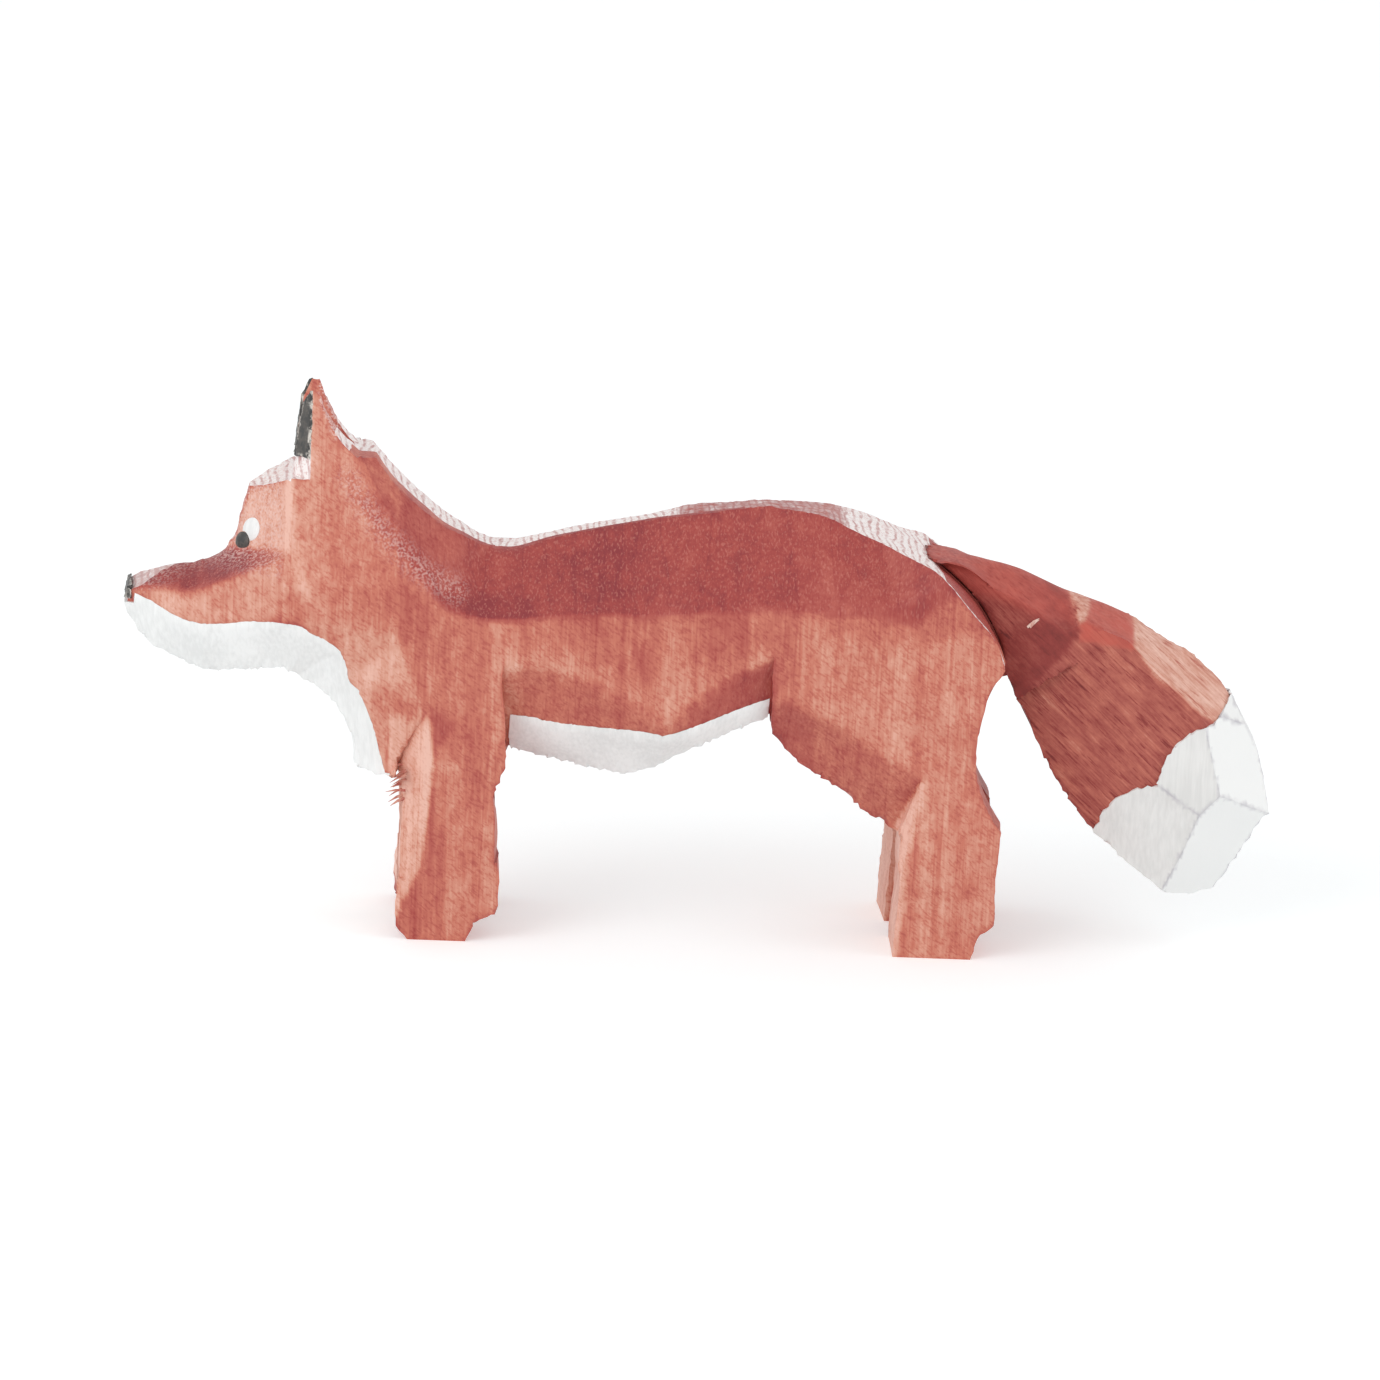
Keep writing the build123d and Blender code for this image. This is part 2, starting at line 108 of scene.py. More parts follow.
nape_border_line = (
    (-18.3, 23.2),
    (-16.75, 21.2),
    (-15.1, 19.6),
    (-14.05, 18.1),
    (-13.3, 17.35),
    (-11.5, 17.15),
)
scuffed_line = ((-18.6, 23.9), (-17.2, 22.0), (-16.35, 20.9), (-14.6, 19.3), (-12.9, 18.35))
low_chest_patch = ((-17.2, 13.4), (-16.3, 9.4), (-15.4, 9.4), (-14.3, 11.9), (-15.5, 12.8))
leg_shade_patch = ((-14.0, 12.5), (-13.8, 10.0), (-13.1, 10.9), (-12.7, 11.6))
dark_corner_line = ((-14.3, 17.8), (-12.5, 17.5), (-9.5, 17.6))
ear_back_line = ((-20.1, 28.0), (-19.2, 26.0))

# Borders of the stain on the tail, as (x, z) in mm
tail_root_line = (
    (16.3, 13.2),
    (17.2, 14.15),
    (18.3, 15.35),
    (19.0, 16.3),
    (19.5, 17.15),
    (19.1, 18.0),
    (19.0, 20.0),
)
tail_red_patch = ((19.3, 17.6), (19.5, 16.7), (22.25, 16.2), (22.5, 17.6), (20.5, 18.6))
tail_root_top_patch = ((12.0, 19.2), (19.2, 17.4), (19.2, 18.9), (16.7, 19.9), (14.3, 20.5), (11.6, 20.8))
tail_chip_patch = ((18.9, 19.0), (19.4, 17.5), (20.55, 18.2), (20.0, 19.0))
tail_roof_line = ((22.1, 16.6), (23.4, 14.9), (24.9, 13.75), (26.85, 12.05), (28.6, 10.4))

# In the values of the stain, a pair is a soft border: where a change starts and where all of it is there

# The way a facet faces, as parts of its normal
side_facing, up_facing, down_facing = (0.15, 0.35), (0.28, 0.72), (-0.14, -0.34)
fore_facing, aft_facing = (-0.08, -0.65), (0.1, 0.4)

# Tone of a facet that looks straight to the side, and what the other facets add to it or take from it:
# facets facing forward are painted paler as painted light from the front left, turned faces and facets
# facing back get painted shade, and facets facing down are darker partly from stain and partly from painted
# shade
side_tone = 0.52
up_darker, belly_darker, thigh_darker, turned_shade_darker, aft_shade_darker = 0.42, 0.02, 0.18, 0.15, 0.12
fore_lit_paler, head_fore_less_lit = 0.42, 0.08
thigh_start, head_start = (3.8, 4.2), (-21, -22)

# Zones of the upper facets that are darker (+) or paler (-), with their borders along X and Z in mm
upper_zones = {
    "back_to_croup": {"change": -0.08, "x": [(-8, 8)]},
    "nape": {"change": -0.25, "x": [(-12, -13), (-21, -20)], "z": [(19.5, 22.0)]},
    "muzzle": {"change": 0.2, "x": [(-22, -23)]},
    "brow": {"change": -0.34, "x": [(-21.0, -21.3), (-24.4, -22.2)]},
}

# Zones of the whole body, first those that lie under the cuts and patches, then those that lie over them
under_zones = {
    "neck": {"change": -0.07, "x": [(-11.5, -13.0)], "z": [(11.5, 13.5)]},
    "forehead": {"change": 0.08, "x": [(-21.6, -22.0)], "z": [(19.8, 20.6)]},
    "jaw_corner": {"change": 0.07, "x": [(-19.5, -20.5), (-22.4, -21.6)], "z": [(18.6, 17.8)]},
}
over_zones = {
    "fore_feet": {"change": -0.06, "x": [(-5, -6)], "z": [(4.5, 3.0)]},
    "head_and_chest": {"change": -0.03, "x": [(-14, -16)], "z": [(13, 14)]},
    "muzzle_side": {"change": -0.05, "x": [(-21.6, -22.4)], "z": [(19.0, 18.0)]},
    "haunch": {"change": -0.13, "x": [(3.5, 7.0)], "z": [(17.5, 16.5)]},
}

# Chamfers of the legs, painted pale as painted light from the front left: the palest tone on them and their
# borders
fore_chamfer_tone, fore_chamfer_top, fore_chamfer_front = 0.07, (12.3, 11.3), (-16.3, -15.9)
hind_chamfer_tone, hind_chamfer_top, hind_chamfer_front = 0.25, (9.6, 9.2), (9.0, 9.5)

# Bevel of the belly: darker towards the thigh, partly stain and partly painted shade, with a paler band
# above its edge
bevel_front, bevel_back, bevel_edge = (-10.5, -10.2), (4.0, 3.2), (-0.1, 0.1)
bevel_paler, bevel_middle_darker, bevel_thigh_darker = 0.02, 0.12, 0.14
bevel_middle, bevel_thigh = (-2.2, -0.6), (1.2, 3.6)
flank_band_paler, flank_band_end = 0.14, (1.8, 0.2)

# Chest and cheek: how much paler the chest's facet (painted light) and the cheek's edge (painted highlight)
# are, and how dark two spots of painted shade
chest_lit_paler, chest_front, chest_low = 0.13, (-19.5, -18), (8, 10)
cheek_edge_highlight, low_chest_shade, leg_shade_darker = 0.18, 0.14, 0.22

# Back: the least tone behind the nape's border, at its top and below, and on the croup
nape_top, nape_back = (24.0, 22.5), (-10.5, -11.5)
nape_tone, nape_low_darker, nape_low = 0.64, 0.12, (21.0, 19.0)
croup_tone = 0.78
corner_darker, corner_tones = 0.16, (0.6, 0.8)

# Painted sheen on the turned top, standing in for the bright room reflected at grazing angles: where it
# starts, where it fades out, and where else it lies, as on the pale torn rim of the rump
turned_facing, sheen_facing, sheen_low = (0.3, 0.12), (0.45, 0.7), (15, 16)
bevelled_end, bevelled_width = 9, 3.6
stained_over_from, stained_over_to, stained_over_side = -18.5, 2, -0.8
rump_start, rump_low = (11.8, 12.3), (14.0, 15.0)
rump_rim_side, rump_rim_facing = (5.15, 5.25), (0.05, 0.25)
crest_fade, crest_start, crest_end = 0.55, (-2.7, -1.1), (8.0, 6.8)
muzzle_fade, muzzle_start = 0.45, (-23.9, -24.3)
ear_foot_facing, ear_foot_low = (-0.4, -0.6), (23.4, 23.8)
under_nose_facing, under_nose_start = (-0.5, -0.7), (-29.2, -29.4)

# Scuffs: how strong they are along the nape, behind the ear, on the muzzle and over the face
nape_scuff, ear_scuff, muzzle_scuff, face_scuff = 0.4, 0.9, 0.35, 0.5
face_scuff_back, face_scuff_low = (-21.6, -22.2), (18.4, 19.6)

# Tail: tones of its sides, red patch, roof and chip, and of its root from the border inwards; the pale roof
# and upward facets are painted light and sheen, the dark root is partly stain and partly painted shadow of
# the rump
tail_tone, red_tone, roof_lit_tone, chip_tone = 0.64, 0.56, 0.17, 0.25
root_tone, root_paler, root_inwards = 0.91, 0.15, (0.3, 3.5)
tail_up_lit_paler, tail_up_facing = 0.04, (0.3, 0.6)
tail_roof_start = (22.0, 22.4)
root_top_red = 0.7

# Stain that gathered along the torn outline
rim_darker = 0.2

# Angles in degrees: the least of an edge, of one that stays crisp, and one above all that there are
edge_angle, crisp_angle, every_angle = 15, 50, 181
smooth_angle = 30

# Torn outline: faces that belong to it, and how far undersides, walls and tops are torn, as shares
outline_facing = 0.25
underside_facing, wall_facing = -0.3, 0.5
underside_torn, wall_torn, top_torn = 1.0, 0.4, 0.25
sole_clearance = 0.25
paint_clearance = 0.25

# Spacing of the grid that cuts each kind of piece, in mm along X, Y and Z
body_pitch, tail_pitch, glue_pitch = (0.17, 0.6, 0.3), (0.15, 0.4, 0.15), (0.4, 0.4, 0.4)
white_pitch, black_pitch, dot_pitch = (0.17, 0.6, 0.25), (0.15, 0.15, 0.15), (0.2, 0.2, 0.2)

# Hand work in mm: patch size and strength of the waver of cuts, of frayed edges and of the scalloped rim
waver_patch, waver, waver_start, sole_height = 3.0, 0.3, 2.0, 0.02
fray_patch, wood_fray, white_fray, tail_tip_fray, black_fray = 0.1, 0.3, 0.24, 0.14, 0.2
scallop, scallop_low = 0.4, 3.5
scallop_patches = {"X": 0.35, "Z": 0.3}

# Depth of the relief that fibres and brush marks leave
relief_depth = 0.05 * MM

# Span in which nearly all values of a noise lie
noise_span = (0.3, 0.7)

# Sockets of the colour Mix node
FACTOR, FIRST, SECOND, MIXED = 0, 6, 7, 2


def linear(hex_colour):
    """sRGB hex to the linear colour that a shader socket takes."""
    parts = [int(hex_colour[i : i + 2], 16) / 255 for i in (1, 3, 5)]
    return tuple(c / 12.92 if c <= 0.04045 else ((c + 0.055) / 1.055) ** 2.4 for c in parts) + (1.0,)


def put(tree, kind, inputs=(), output=0, **settings):
    """Adds one shader node and gives back an output: inputs go by socket, or in the node's own order."""
    added = tree.nodes.new("ShaderNode" + kind)
    for key, value in settings.items():
        setattr(added, key, value)
    for key, value in inputs.items() if isinstance(inputs, dict) else enumerate(inputs):
        if isinstance(value, bpy.types.NodeSocket):
            tree.links.new(value, added.inputs[key])
        else:
            added.inputs[key].default_value = value
    return added.outputs[output]


def new_material(name):
    """Empty node tree with a principled shader on its output."""
    material = bpy.data.materials.new(name)
    material.use_nodes = True
    tree = material.node_tree
    shader = next(n for n in tree.nodes if n.type == "BSDF_PRINCIPLED")
    return material, tree, shader


def patches(tree, size, turn=0.0):
    """Inputs that lay a pattern out in patches of a size in mm along X, Y and Z, turned about Y."""
    laid = {
        "Vector": put(tree, "TexCoord", output="Object"),
        "Rotation": (0, turn, 0),
        "Scale": [s * MM for s in size],
    }
    return {"Vector": put(tree, "Mapping", laid, vector_type="TEXTURE"), "Scale": 1.0}


def tone_colour(tree, tone, stops):
    """Colour that goes through the stops as the tone rises."""
    colour = linear(stops[0][1])
    for (start, _), (end, shade) in zip(stops, stops[1:]):
        share = put(tree, "MapRange", (tone, start, end))
        mixed = {FACTOR: share, FIRST: colour, SECOND: linear(shade)}
        colour = put(tree, "Mix", mixed, MIXED, data_type="RGBA")
    return colour


# Red stain on knife-cut spruce, from facets where the grain closes up to end grain that drinks it in; the
# tone that picks a colour also carries painted light and shade
body_stain = (
    (0.0, "#edbcab"),
    (0.25, "#db9c87"),
    (0.45, "#ca7763"),
    (0.65, "#b65c51"),
    (0.85, "#a54641"),
    (1.1, "#8b3438"),
)
tail_stain = (
    (0.0, "#ecc0b0"),
    (0.25, "#d69b88"),
    (0.5, "#bf7060"),
    (0.7, "#a95a51"),
    (0.9, "#93433f"),
    (1.15, "#743634"),
)


# Knife-cut spruce under a thin red stain, satin: curly flecks and ring bands on the long grain,
# pale pricks where cells are cut across, and a painted white sheen, the bright room reflected, with ring
# ticks on the lathe-turned top.
def body_wood():
    material, tree, shader = new_material("stained_spruce_body")
    facet_tone = put(tree, "Attribute", output="Fac", attribute_name="tone")
    sheen_and_rim_share = put(tree, "Attribute", output="Fac", attribute_name="sheen_and_rim")
    scuff_share = put(tree, "Attribute", output="Fac", attribute_name="scuff")
    rings = put(tree, "TexNoise", patches(tree, (1.3, 9, 70)) | {"Detail": 3.0, "Roughness": 0.7})
    ring_edges = put(tree, "TexNoise", patches(tree, (1.1, 9, 60)) | {"Detail": 1.0})
    # fibres are about 0.03 mm wide; drawn four times as wide so that they show
    fibre = put(tree, "TexNoise", patches(tree, (0.12, 0.12, 2.2)))
    curled = patches(tree, (0.12, 0.2, 0.36), math.radians(-52))
    fleck = put(tree, "TexNoise", curled | {"Detail": 2.5, "Roughness": 0.6})
    mottle = put(tree, "TexNoise", patches(tree, (0.6, 0.6, 0.9)) | {"Detail": 3.0, "Roughness": 0.65})
    blotch = put(tree, "TexNoise", patches(tree, (3.5, 3.5, 5.0)))
    cells = put(tree, "TexNoise", patches(tree, (0.1, 0.16, 0.34)) | {"Detail": 1.0})
    specks = put(tree, "TexNoise", patches(tree, (0.13, 0.13, 0.13)))
    ring_ticks = patches(tree, (0.4, 0.8, 0.8)) | {"Scale": 0.314, "Distortion": 7.0, "Detail": 3.0}
    ticks = put(tree, "TexWave", ring_ticks, "Fac")

    # rings are weaker on end grain, flecks show on long grain only, pricks on cut grain only
    ring_bands = put(tree, "MapRange", (rings, *noise_span, -0.14, 0.14))
    ring_strength = put(tree, "MapRange", (facet_tone, 0.6, 0.9, 1.0, 0.4))
    ring_rise = put(tree, "MapRange", (ring_edges, 0.49, 0.505, 0.0, 1.0))
    ring_fall = put(tree, "MapRange", (ring_edges, 0.505, 0.53, 0.1, 0.0))
    curls = put(tree, "MapRange", (fleck, 0.5, 0.64, -0.03, 0.12))
    long_grain = put(tree, "MapRange", (facet_tone, 0.6, 0.78, 1.0, 0.0))
    pricks = put(tree, "MapRange", (cells, 0.54, 0.7, 0.0, 0.35))
    cut_grain = put(tree, "MapRange", (facet_tone, 0.6, 0.8))
    tone = facet_tone
    for layer in (
        put(tree, "Math", (ring_bands, ring_strength), operation="MULTIPLY"),
        put(tree, "Math", (ring_rise, ring_fall), operation="MULTIPLY"),
        put(tree, "MapRange", (blotch, *noise_span, -0.08, 0.08)),
        put(tree, "MapRange", (mottle, *noise_span, -0.1, 0.1)),
        put(tree, "MapRange", (fibre, *noise_span, -0.06, 0.06)),
        put(tree, "Math", (curls, long_grain), operation="MULTIPLY"),
    ):
        tone = put(tree, "Math", (tone, layer), operation="ADD")

    # the painted sheen is white with pink specks, crossed by ticks where the lathe cut the rings
    sheen_specks = put(tree, "MapRange", (specks, 0.5, 0.65, 0.0, 0.6))
    tick_lines = put(tree, "MapRange", (ticks, 0.6, 0.9))
    tick_strength = put(tree, "MapRange", (mottle, 0.35, 0.6, 0.15, 0.8))
    ticked = put(tree, "Math", (tick_lines, tick_strength), operation="MULTIPLY")
    sheen_and_rim_colour = linear("#fbf4f2")
    for share, shade in ((sheen_specks, "#d9aaa6"), (ticked, "#bd7f7c")):
        mixed = {FACTOR: share, FIRST: sheen_and_rim_colour, SECOND: linear(shade)}
        sheen_and_rim_colour = put(tree, "Mix", mixed, MIXED, data_type="RGBA")
    sheen_and_rim_waver = put(tree, "Math", (mottle, 0.5), operation="MULTIPLY")
    sheen_and_rim_height = put(tree, "Math", (sheen_and_rim_share, sheen_and_rim_waver), operation="ADD")
    scuff_specks = put(tree, "MapRange", (specks, 0.46, 0.6))

    colour = tone_colour(tree, tone, body_stain)
    for share, shade in (
        (put(tree, "Math", (pricks, cut_grain), operation="MULTIPLY"), linear("#d08476")),
        # painted reflection: white sheen on the turned top, and the pale torn rim of the rump
        (put(tree, "MapRange", (sheen_and_rim_height, 0.62, 0.9)), sheen_and_rim_colour),
        (put(tree, "Math", (scuff_specks, scuff_share), operation="MULTIPLY"), linear("#ecccc4")),
    ):
        mixed = {FACTOR: share, FIRST: colour, SECOND: shade}
        colour = put(tree, "Mix", mixed, MIXED, data_type="RGBA")
    tree.links.new(colour, shader.inputs["Base Color"])
    relief = put(tree, "Math", (fibre, fleck), operation="ADD")
    bump = put(tree, "Bump", {"Height": relief, "Strength": 0.3, "Distance": relief_depth})
    tree.links.new(bump, shader.inputs["Normal"])
    satin = put(tree, "MapRange", (fibre, *noise_span, 0.45, 0.6))
    tree.links.new(satin, shader.inputs["Roughness"])
    shader.inputs["Specular IOR Level"].default_value = 0.35
    return material


# Stained spruce cut along the grain of its stick: long fibres with thin dark streaks, satin.
def tail_wood():
    material, tree, shader = new_material("stained_spruce_tail")
    grain_turn = math.radians(-48)
    facet_tone = put(tree, "Attribute", output="Fac", attribute_name="tone")
    red_share = put(tree, "Attribute", output="Fac", attribute_name="red")
    # drawn about four times as wide as real fibres, so that they show
    fibre_patches = patches(tree, (0.11, 0.3, 3.2), grain_turn)
    fibre = put(tree, "TexNoise", fibre_patches | {"Detail": 4.0, "Roughness": 0.6})
    streak_patches = patches(tree, (0.16, 0.5, 1.9), grain_turn)
    streak = put(tree, "TexNoise", streak_patches | {"Detail": 4.0, "Roughness": 0.65})
    blotch_patches = patches(tree, (0.8, 1.2, 1.5), grain_turn)
    blotch = put(tree, "TexNoise", blotch_patches | {"Detail": 4.0, "Roughness": 0.7})

    # the fibres and streaks fade out on the smooth dark root
    fibres = put(tree, "MapRange", (fibre, *noise_span, -0.14, 0.14))
    streaks = put(tree, "MapRange", (streak, 0.56, 0.66, 0.0, 0.34))
    lines = put(tree, "Math", (fibres, streaks), operation="ADD")
    grainy = put(tree, "MapRange", (facet_tone, 0.75, 0.9, 1.0, 0.3))
    tone = facet_tone
    for layer in (
        put(tree, "Math", (lines, grainy), operation="MULTIPLY"),
        put(tree, "MapRange", (blotch, *noise_span, -0.16, 0.16)),
    ):
        tone = put(tree, "Math", (tone, layer), operation="ADD")
    red_strength = put(tree, "MapRange", (blotch, 0.35, 0.6, 0.9, 0.55))
    flush = put(tree, "Math", (red_share, red_strength), operation="MULTIPLY")
    flushed = {FACTOR: flush, FIRST: tone_colour(tree, tone, tail_stain), SECOND: linear("#c35a4f")}
    colour = put(tree, "Mix", flushed, MIXED, data_type="RGBA")
    tree.links.new(colour, shader.inputs["Base Color"])
    bump = put(tree, "Bump", {"Height": fibre, "Strength": 0.3, "Distance": relief_depth})
    tree.links.new(bump, shader.inputs["Normal"])
    satin = put(tree, "MapRange", (fibre, *noise_span, 0.45, 0.6))
    tree.links.new(satin, shader.inputs["Roughness"])
    shader.inputs["Specular IOR Level"].default_value = 0.15
    return material


# Bare fibres torn out of the wood: pale on the tail, stained where they hang under the breast.
def torn_fibre():
    material, tree, shader = new_material("torn_spruce_fibre")
    soaked = put(tree, "Attribute", output="Fac", attribute_name="soaked")
    patchy = put(tree, "MapRange", (put(tree, "TexNoise", patches(tree, (0.25, 0.25, 0.5))), 0.35, 0.65))
    bare_shades = {FACTOR: patchy, FIRST: linear("#eed3c6"), SECOND: linear("#d39a8b")}
    bare_wood = put(tree, "Mix", bare_shades, MIXED, data_type="RGBA")
    stained_shades = {FACTOR: patchy, FIRST: linear("#dba08d"), SECOND: linear("#b3584d")}
    stained = put(tree, "Mix", stained_shades, MIXED, data_type="RGBA")
    both = {FACTOR: soaked, FIRST: bare_wood, SECOND: stained}
    tree.links.new(put(tree, "Mix", both, MIXED, data_type="RGBA"), shader.inputs["Base Color"])
    shader.inputs["Roughness"].default_value = 0.6
    return material


# Matt water-based white, brushed on: fibre streaks print through, creases hold a grey line, and facets
# marked lit are painted whiter as painted light.
def brushed_white(name, thin_shade, full_shade):
    material, tree, shader = new_material(name)
    crease = put(tree, "Attribute", output="Fac", attribute_name="crease")
    lit_end = put(tree, "Attribute", output="Fac", attribute_name="lit_end")
    fibre = put(tree, "TexNoise", patches(tree, (0.18, 0.18, 2.5)))
    cover = put(tree, "TexNoise", patches(tree, (2.5, 2.5, 2.5)))
    broken = put(tree, "TexNoise", patches(tree, (0.7, 0.7, 0.7)))
    coverage = put(tree, "Math", (fibre, cover), operation="ADD")
    line_strength = put(tree, "MapRange", (broken, 0.35, 0.6, 0.15, 0.75))
    colour = linear(thin_shade)
    for share, shade in (
        (put(tree, "MapRange", (coverage, 0.75, 1.2)), full_shade),
        # painted light: facets marked lit get the whitest shade
        (lit_end, "#f4f4f3"),
        (put(tree, "Math", (crease, line_strength), operation="MULTIPLY"), "#b3aeb6"),
    ):
        mixed = {FACTOR: share, FIRST: colour, SECOND: linear(shade)}
        colour = put(tree, "Mix", mixed, MIXED, data_type="RGBA")
    tree.links.new(colour, shader.inputs["Base Color"])
    bump = put(tree, "Bump", {"Height": fibre, "Strength": 0.25, "Distance": relief_depth})
    tree.links.new(bump, shader.inputs["Normal"])
    shader.inputs["Roughness"].default_value = 0.55
    return material


# Matt black, dabbed on: grey-brown where it thins out, worn to pale wood along its edges.
def dabbed_black():
    material, tree, shader = new_material("dabbed_black_paint")
    crease = put(tree, "Attribute", output="Fac", attribute_name="crease")
    cover = put(tree, "TexNoise", patches(tree, (0.4, 0.4, 0.5)) | {"Detail": 3.0, "Roughness": 0.7})
    wear = put(tree, "MapRange", (cover, 0.46, 0.6))
    colour = linear("#363534")
    for share, shade in (
        (put(tree, "MapRange", (cover, 0.42, 0.75)), "#635c55"),
        (put(tree, "Math", (crease, wear), operation="MULTIPLY"), "#d6cec5"),
    ):
        mixed = {FACTOR: share, FIRST: colour, SECOND: linear(shade)}
        colour = put(tree, "Mix", mixed, MIXED, data_type="RGBA")
    tree.links.new(colour, shader.inputs["Base Color"])
    bump = put(tree, "Bump", {"Height": cover, "Strength": 0.35, "Distance": relief_depth})
    tree.links.new(bump, shader.inputs["Normal"])
    shader.inputs["Roughness"].default_value = 0.5
    return material


# Dried wood glue in the joint: brown with the stain that ran into it, slightly glossy.
def dried_glue():
    material, tree, shader = new_material("dried_wood_glue")
    cloud = put(tree, "TexNoise", patches(tree, (0.5, 0.5, 0.5)))
    shades = {FACTOR: cloud, FIRST: linear("#6b2c28"), SECOND: linear("#8a4038")}
    tree.links.new(put(tree, "Mix", shades, MIXED, data_type="RGBA"), shader.inputs["Base Color"])
    shader.inputs["Roughness"].default_value = 0.5
    shader.inputs["Specular IOR Level"].default_value = 0.2
    return material


def choose(piece):
    """Makes this piece the only selected and active one, in object mode."""
    if bpy.context.mode != "OBJECT":
        bpy.ops.object.mode_set(mode="OBJECT")
    bpy.ops.object.select_all(action="DESELECT")
    piece.select_set(True)
    bpy.context.view_layer.objects.active = piece


def edit(piece):
    """Opens this piece alone in edit mode, with all of its mesh selected."""
    choose(piece)
    bpy.ops.object.mode_set(mode="EDIT")
    bpy.ops.mesh.select_all(action="SELECT")


def worked_copy(node, name, pitch):
    """Copy of a CAD node as a piece of its own, cut by an uneven grid so that its facets can be worked."""
    merge_distance, flat_angle, uneven = 0.002 * MM, math.radians(0.4), (0.8, 1.2)
    piece = bpy.data.objects.new(name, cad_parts[node].data.copy())
    bpy.context.scene.collection.objects.link(piece)
    edit(piece)
    bpy.ops.mesh.customdata_custom_splitnormals_clear()
    bpy.ops.mesh.remove_doubles(threshold=merge_distance)
    bpy.ops.mesh.dissolve_limited(angle_limit=flat_angle)
    low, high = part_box(node)
    for axis in range(3):
        across = Vector((0, 0, 0))
        across[axis] = 1
        at = low[axis] + 0.5 * pitch[axis] * MM
        while at < high[axis]:
            bpy.ops.mesh.select_all(action="SELECT")
            bpy.ops.mesh.bisect(plane_co=across * at, plane_no=across)
            at += pitch[axis] * MM * rng.uniform(*uneven)
    bpy.ops.object.mode_set(mode="OBJECT")
    return piece


def spots_of(piece):
    """Places of all vertices in mm."""
    spots = np.empty(len(piece.data.vertices) * 3)
    piece.data.vertices.foreach_get("co", spots)
    return spots.reshape(-1, 3) / MM


def move_to(piece, spots):
    """Moves all vertices to places in mm."""
    piece.data.vertices.foreach_set("co", (spots * MM).ravel())
    piece.data.update()


def rise(value, start, end):
    """Smooth step from 0 at the start to 1 at the end, whichever of the two is higher."""
    share = np.clip((value - start) / (end - start), 0.0, 1.0)
    return share * share * (3 - 2 * share)


def eased_line(corners):
    """Points along a knife line, and how far each one moves when the line's corners are rounded."""
    line = []
    for (x1, z1), (x2, z2) in zip(corners, corners[1:]):
        steps = int(math.hypot(x2 - x1, z2 - z1) / sweep_step)
        line += [(x1 + (x2 - x1) * i / steps, z1 + (z2 - z1) * i / steps) for i in range(steps)]
    line = np.array(line)
    half = int(sweep_width / sweep_step)
    padded = np.concatenate([line[:1].repeat(half, 0), line, line[-1:].repeat(half, 0)])
    window = np.ones(2 * half + 1) / (2 * half + 1)
    shift = np.stack([np.convolve(padded[:, i], window, "valid") for i in range(2)], 1) - line
    shift[:half] = 0
    shift[-half:] = 0
    return line, shift


def sweep(piece):
    """Rounds the knife lines and sets the walls of the fore leg, alike in wood and paint."""
    spots = spots_of(piece)
    for corners in (throat_line, back_line, thigh_line, top_line):
        line, shift = eased_line(corners)
        away = np.hypot(spots[:, None, 0] - line[None, :, 0], spots[:, None, 2] - line[None, :, 1])
        nearest = away.argmin(1)
        weight = np.clip(1 - (away.min(1) / sweep_reach) ** 2, 0, 1) ** 2
        spots[:, [0, 2]] += shift[nearest] * weight[:, None]
    wall = np.array(wall_line)
    near_wall = np.clip(1 - ((spots[:, 0] - wall[0, 0]) / wall_reach) ** 2, 0, 1) ** 2
    spots[:, 0] += near_wall * np.interp(spots[:, 2], wall[::-1, 1], wall_lean[::-1])
    back = leg_back + leg_back_step * rise(spots[:, 2], *leg_back_bend)
    behind = (spots[:, 0] > back) & (spots[:, 0] < trimmed_end) & (spots[:, 2] < trimmed_top)
    spots[behind, 0] = back[behind]
    move_to(piece, spots)


def displace(piece, weights, patch, strength, direction="RGB_TO_XYZ"):
    """Moves weighted vertices by a cloudy field of the given patch size; equal places move alike."""
    group = piece.vertex_groups.new(name="worked")
    for index, weight in weights.items():
        group.add([index], weight, "REPLACE")
    field = bpy.data.textures.new("field", "CLOUDS")
    field.cloud_type = "COLOR"
    field.noise_depth = 0
    field.noise_scale = patch * MM
    moved = piece.modifiers.new("moved", "DISPLACE")
    moved.texture = field
    moved.texture_coords = "LOCAL"
    moved.direction = direction
    moved.vertex_group = group.name
    moved.mid_level = 0.5
    moved.strength = strength * MM
    choose(piece)
    bpy.ops.object.modifier_apply(modifier=moved.name)
    piece.vertex_groups.clear()


def hand_waver(piece):
    """Slight unevenness of cuts made by hand; the soles stay flat on the floor."""
    above = [v for v in piece.data.vertices if v.co.z > sole_height * MM]
    weights = {v.index: min(1.0, v.co.z / (waver_start * MM)) for v in above}
    displace(piece, weights, waver_patch, waver)


def sharp_edges(piece, least):
    """Edges whose faces meet at more than the least angle: their vertices, angle and face normals."""
    mesh = bmesh.new()
    mesh.from_mesh(piece.data)
    found = []
    for edge in mesh.edges:
        if len(edge.link_faces) == 2:
            angle = math.degrees(edge.calc_face_angle(0))
            if angle > least:
                normals = [face.normal.copy() for face in edge.link_faces]
                found.append(([v.index for v in edge.verts], angle, normals))
    mesh.free()
    return found


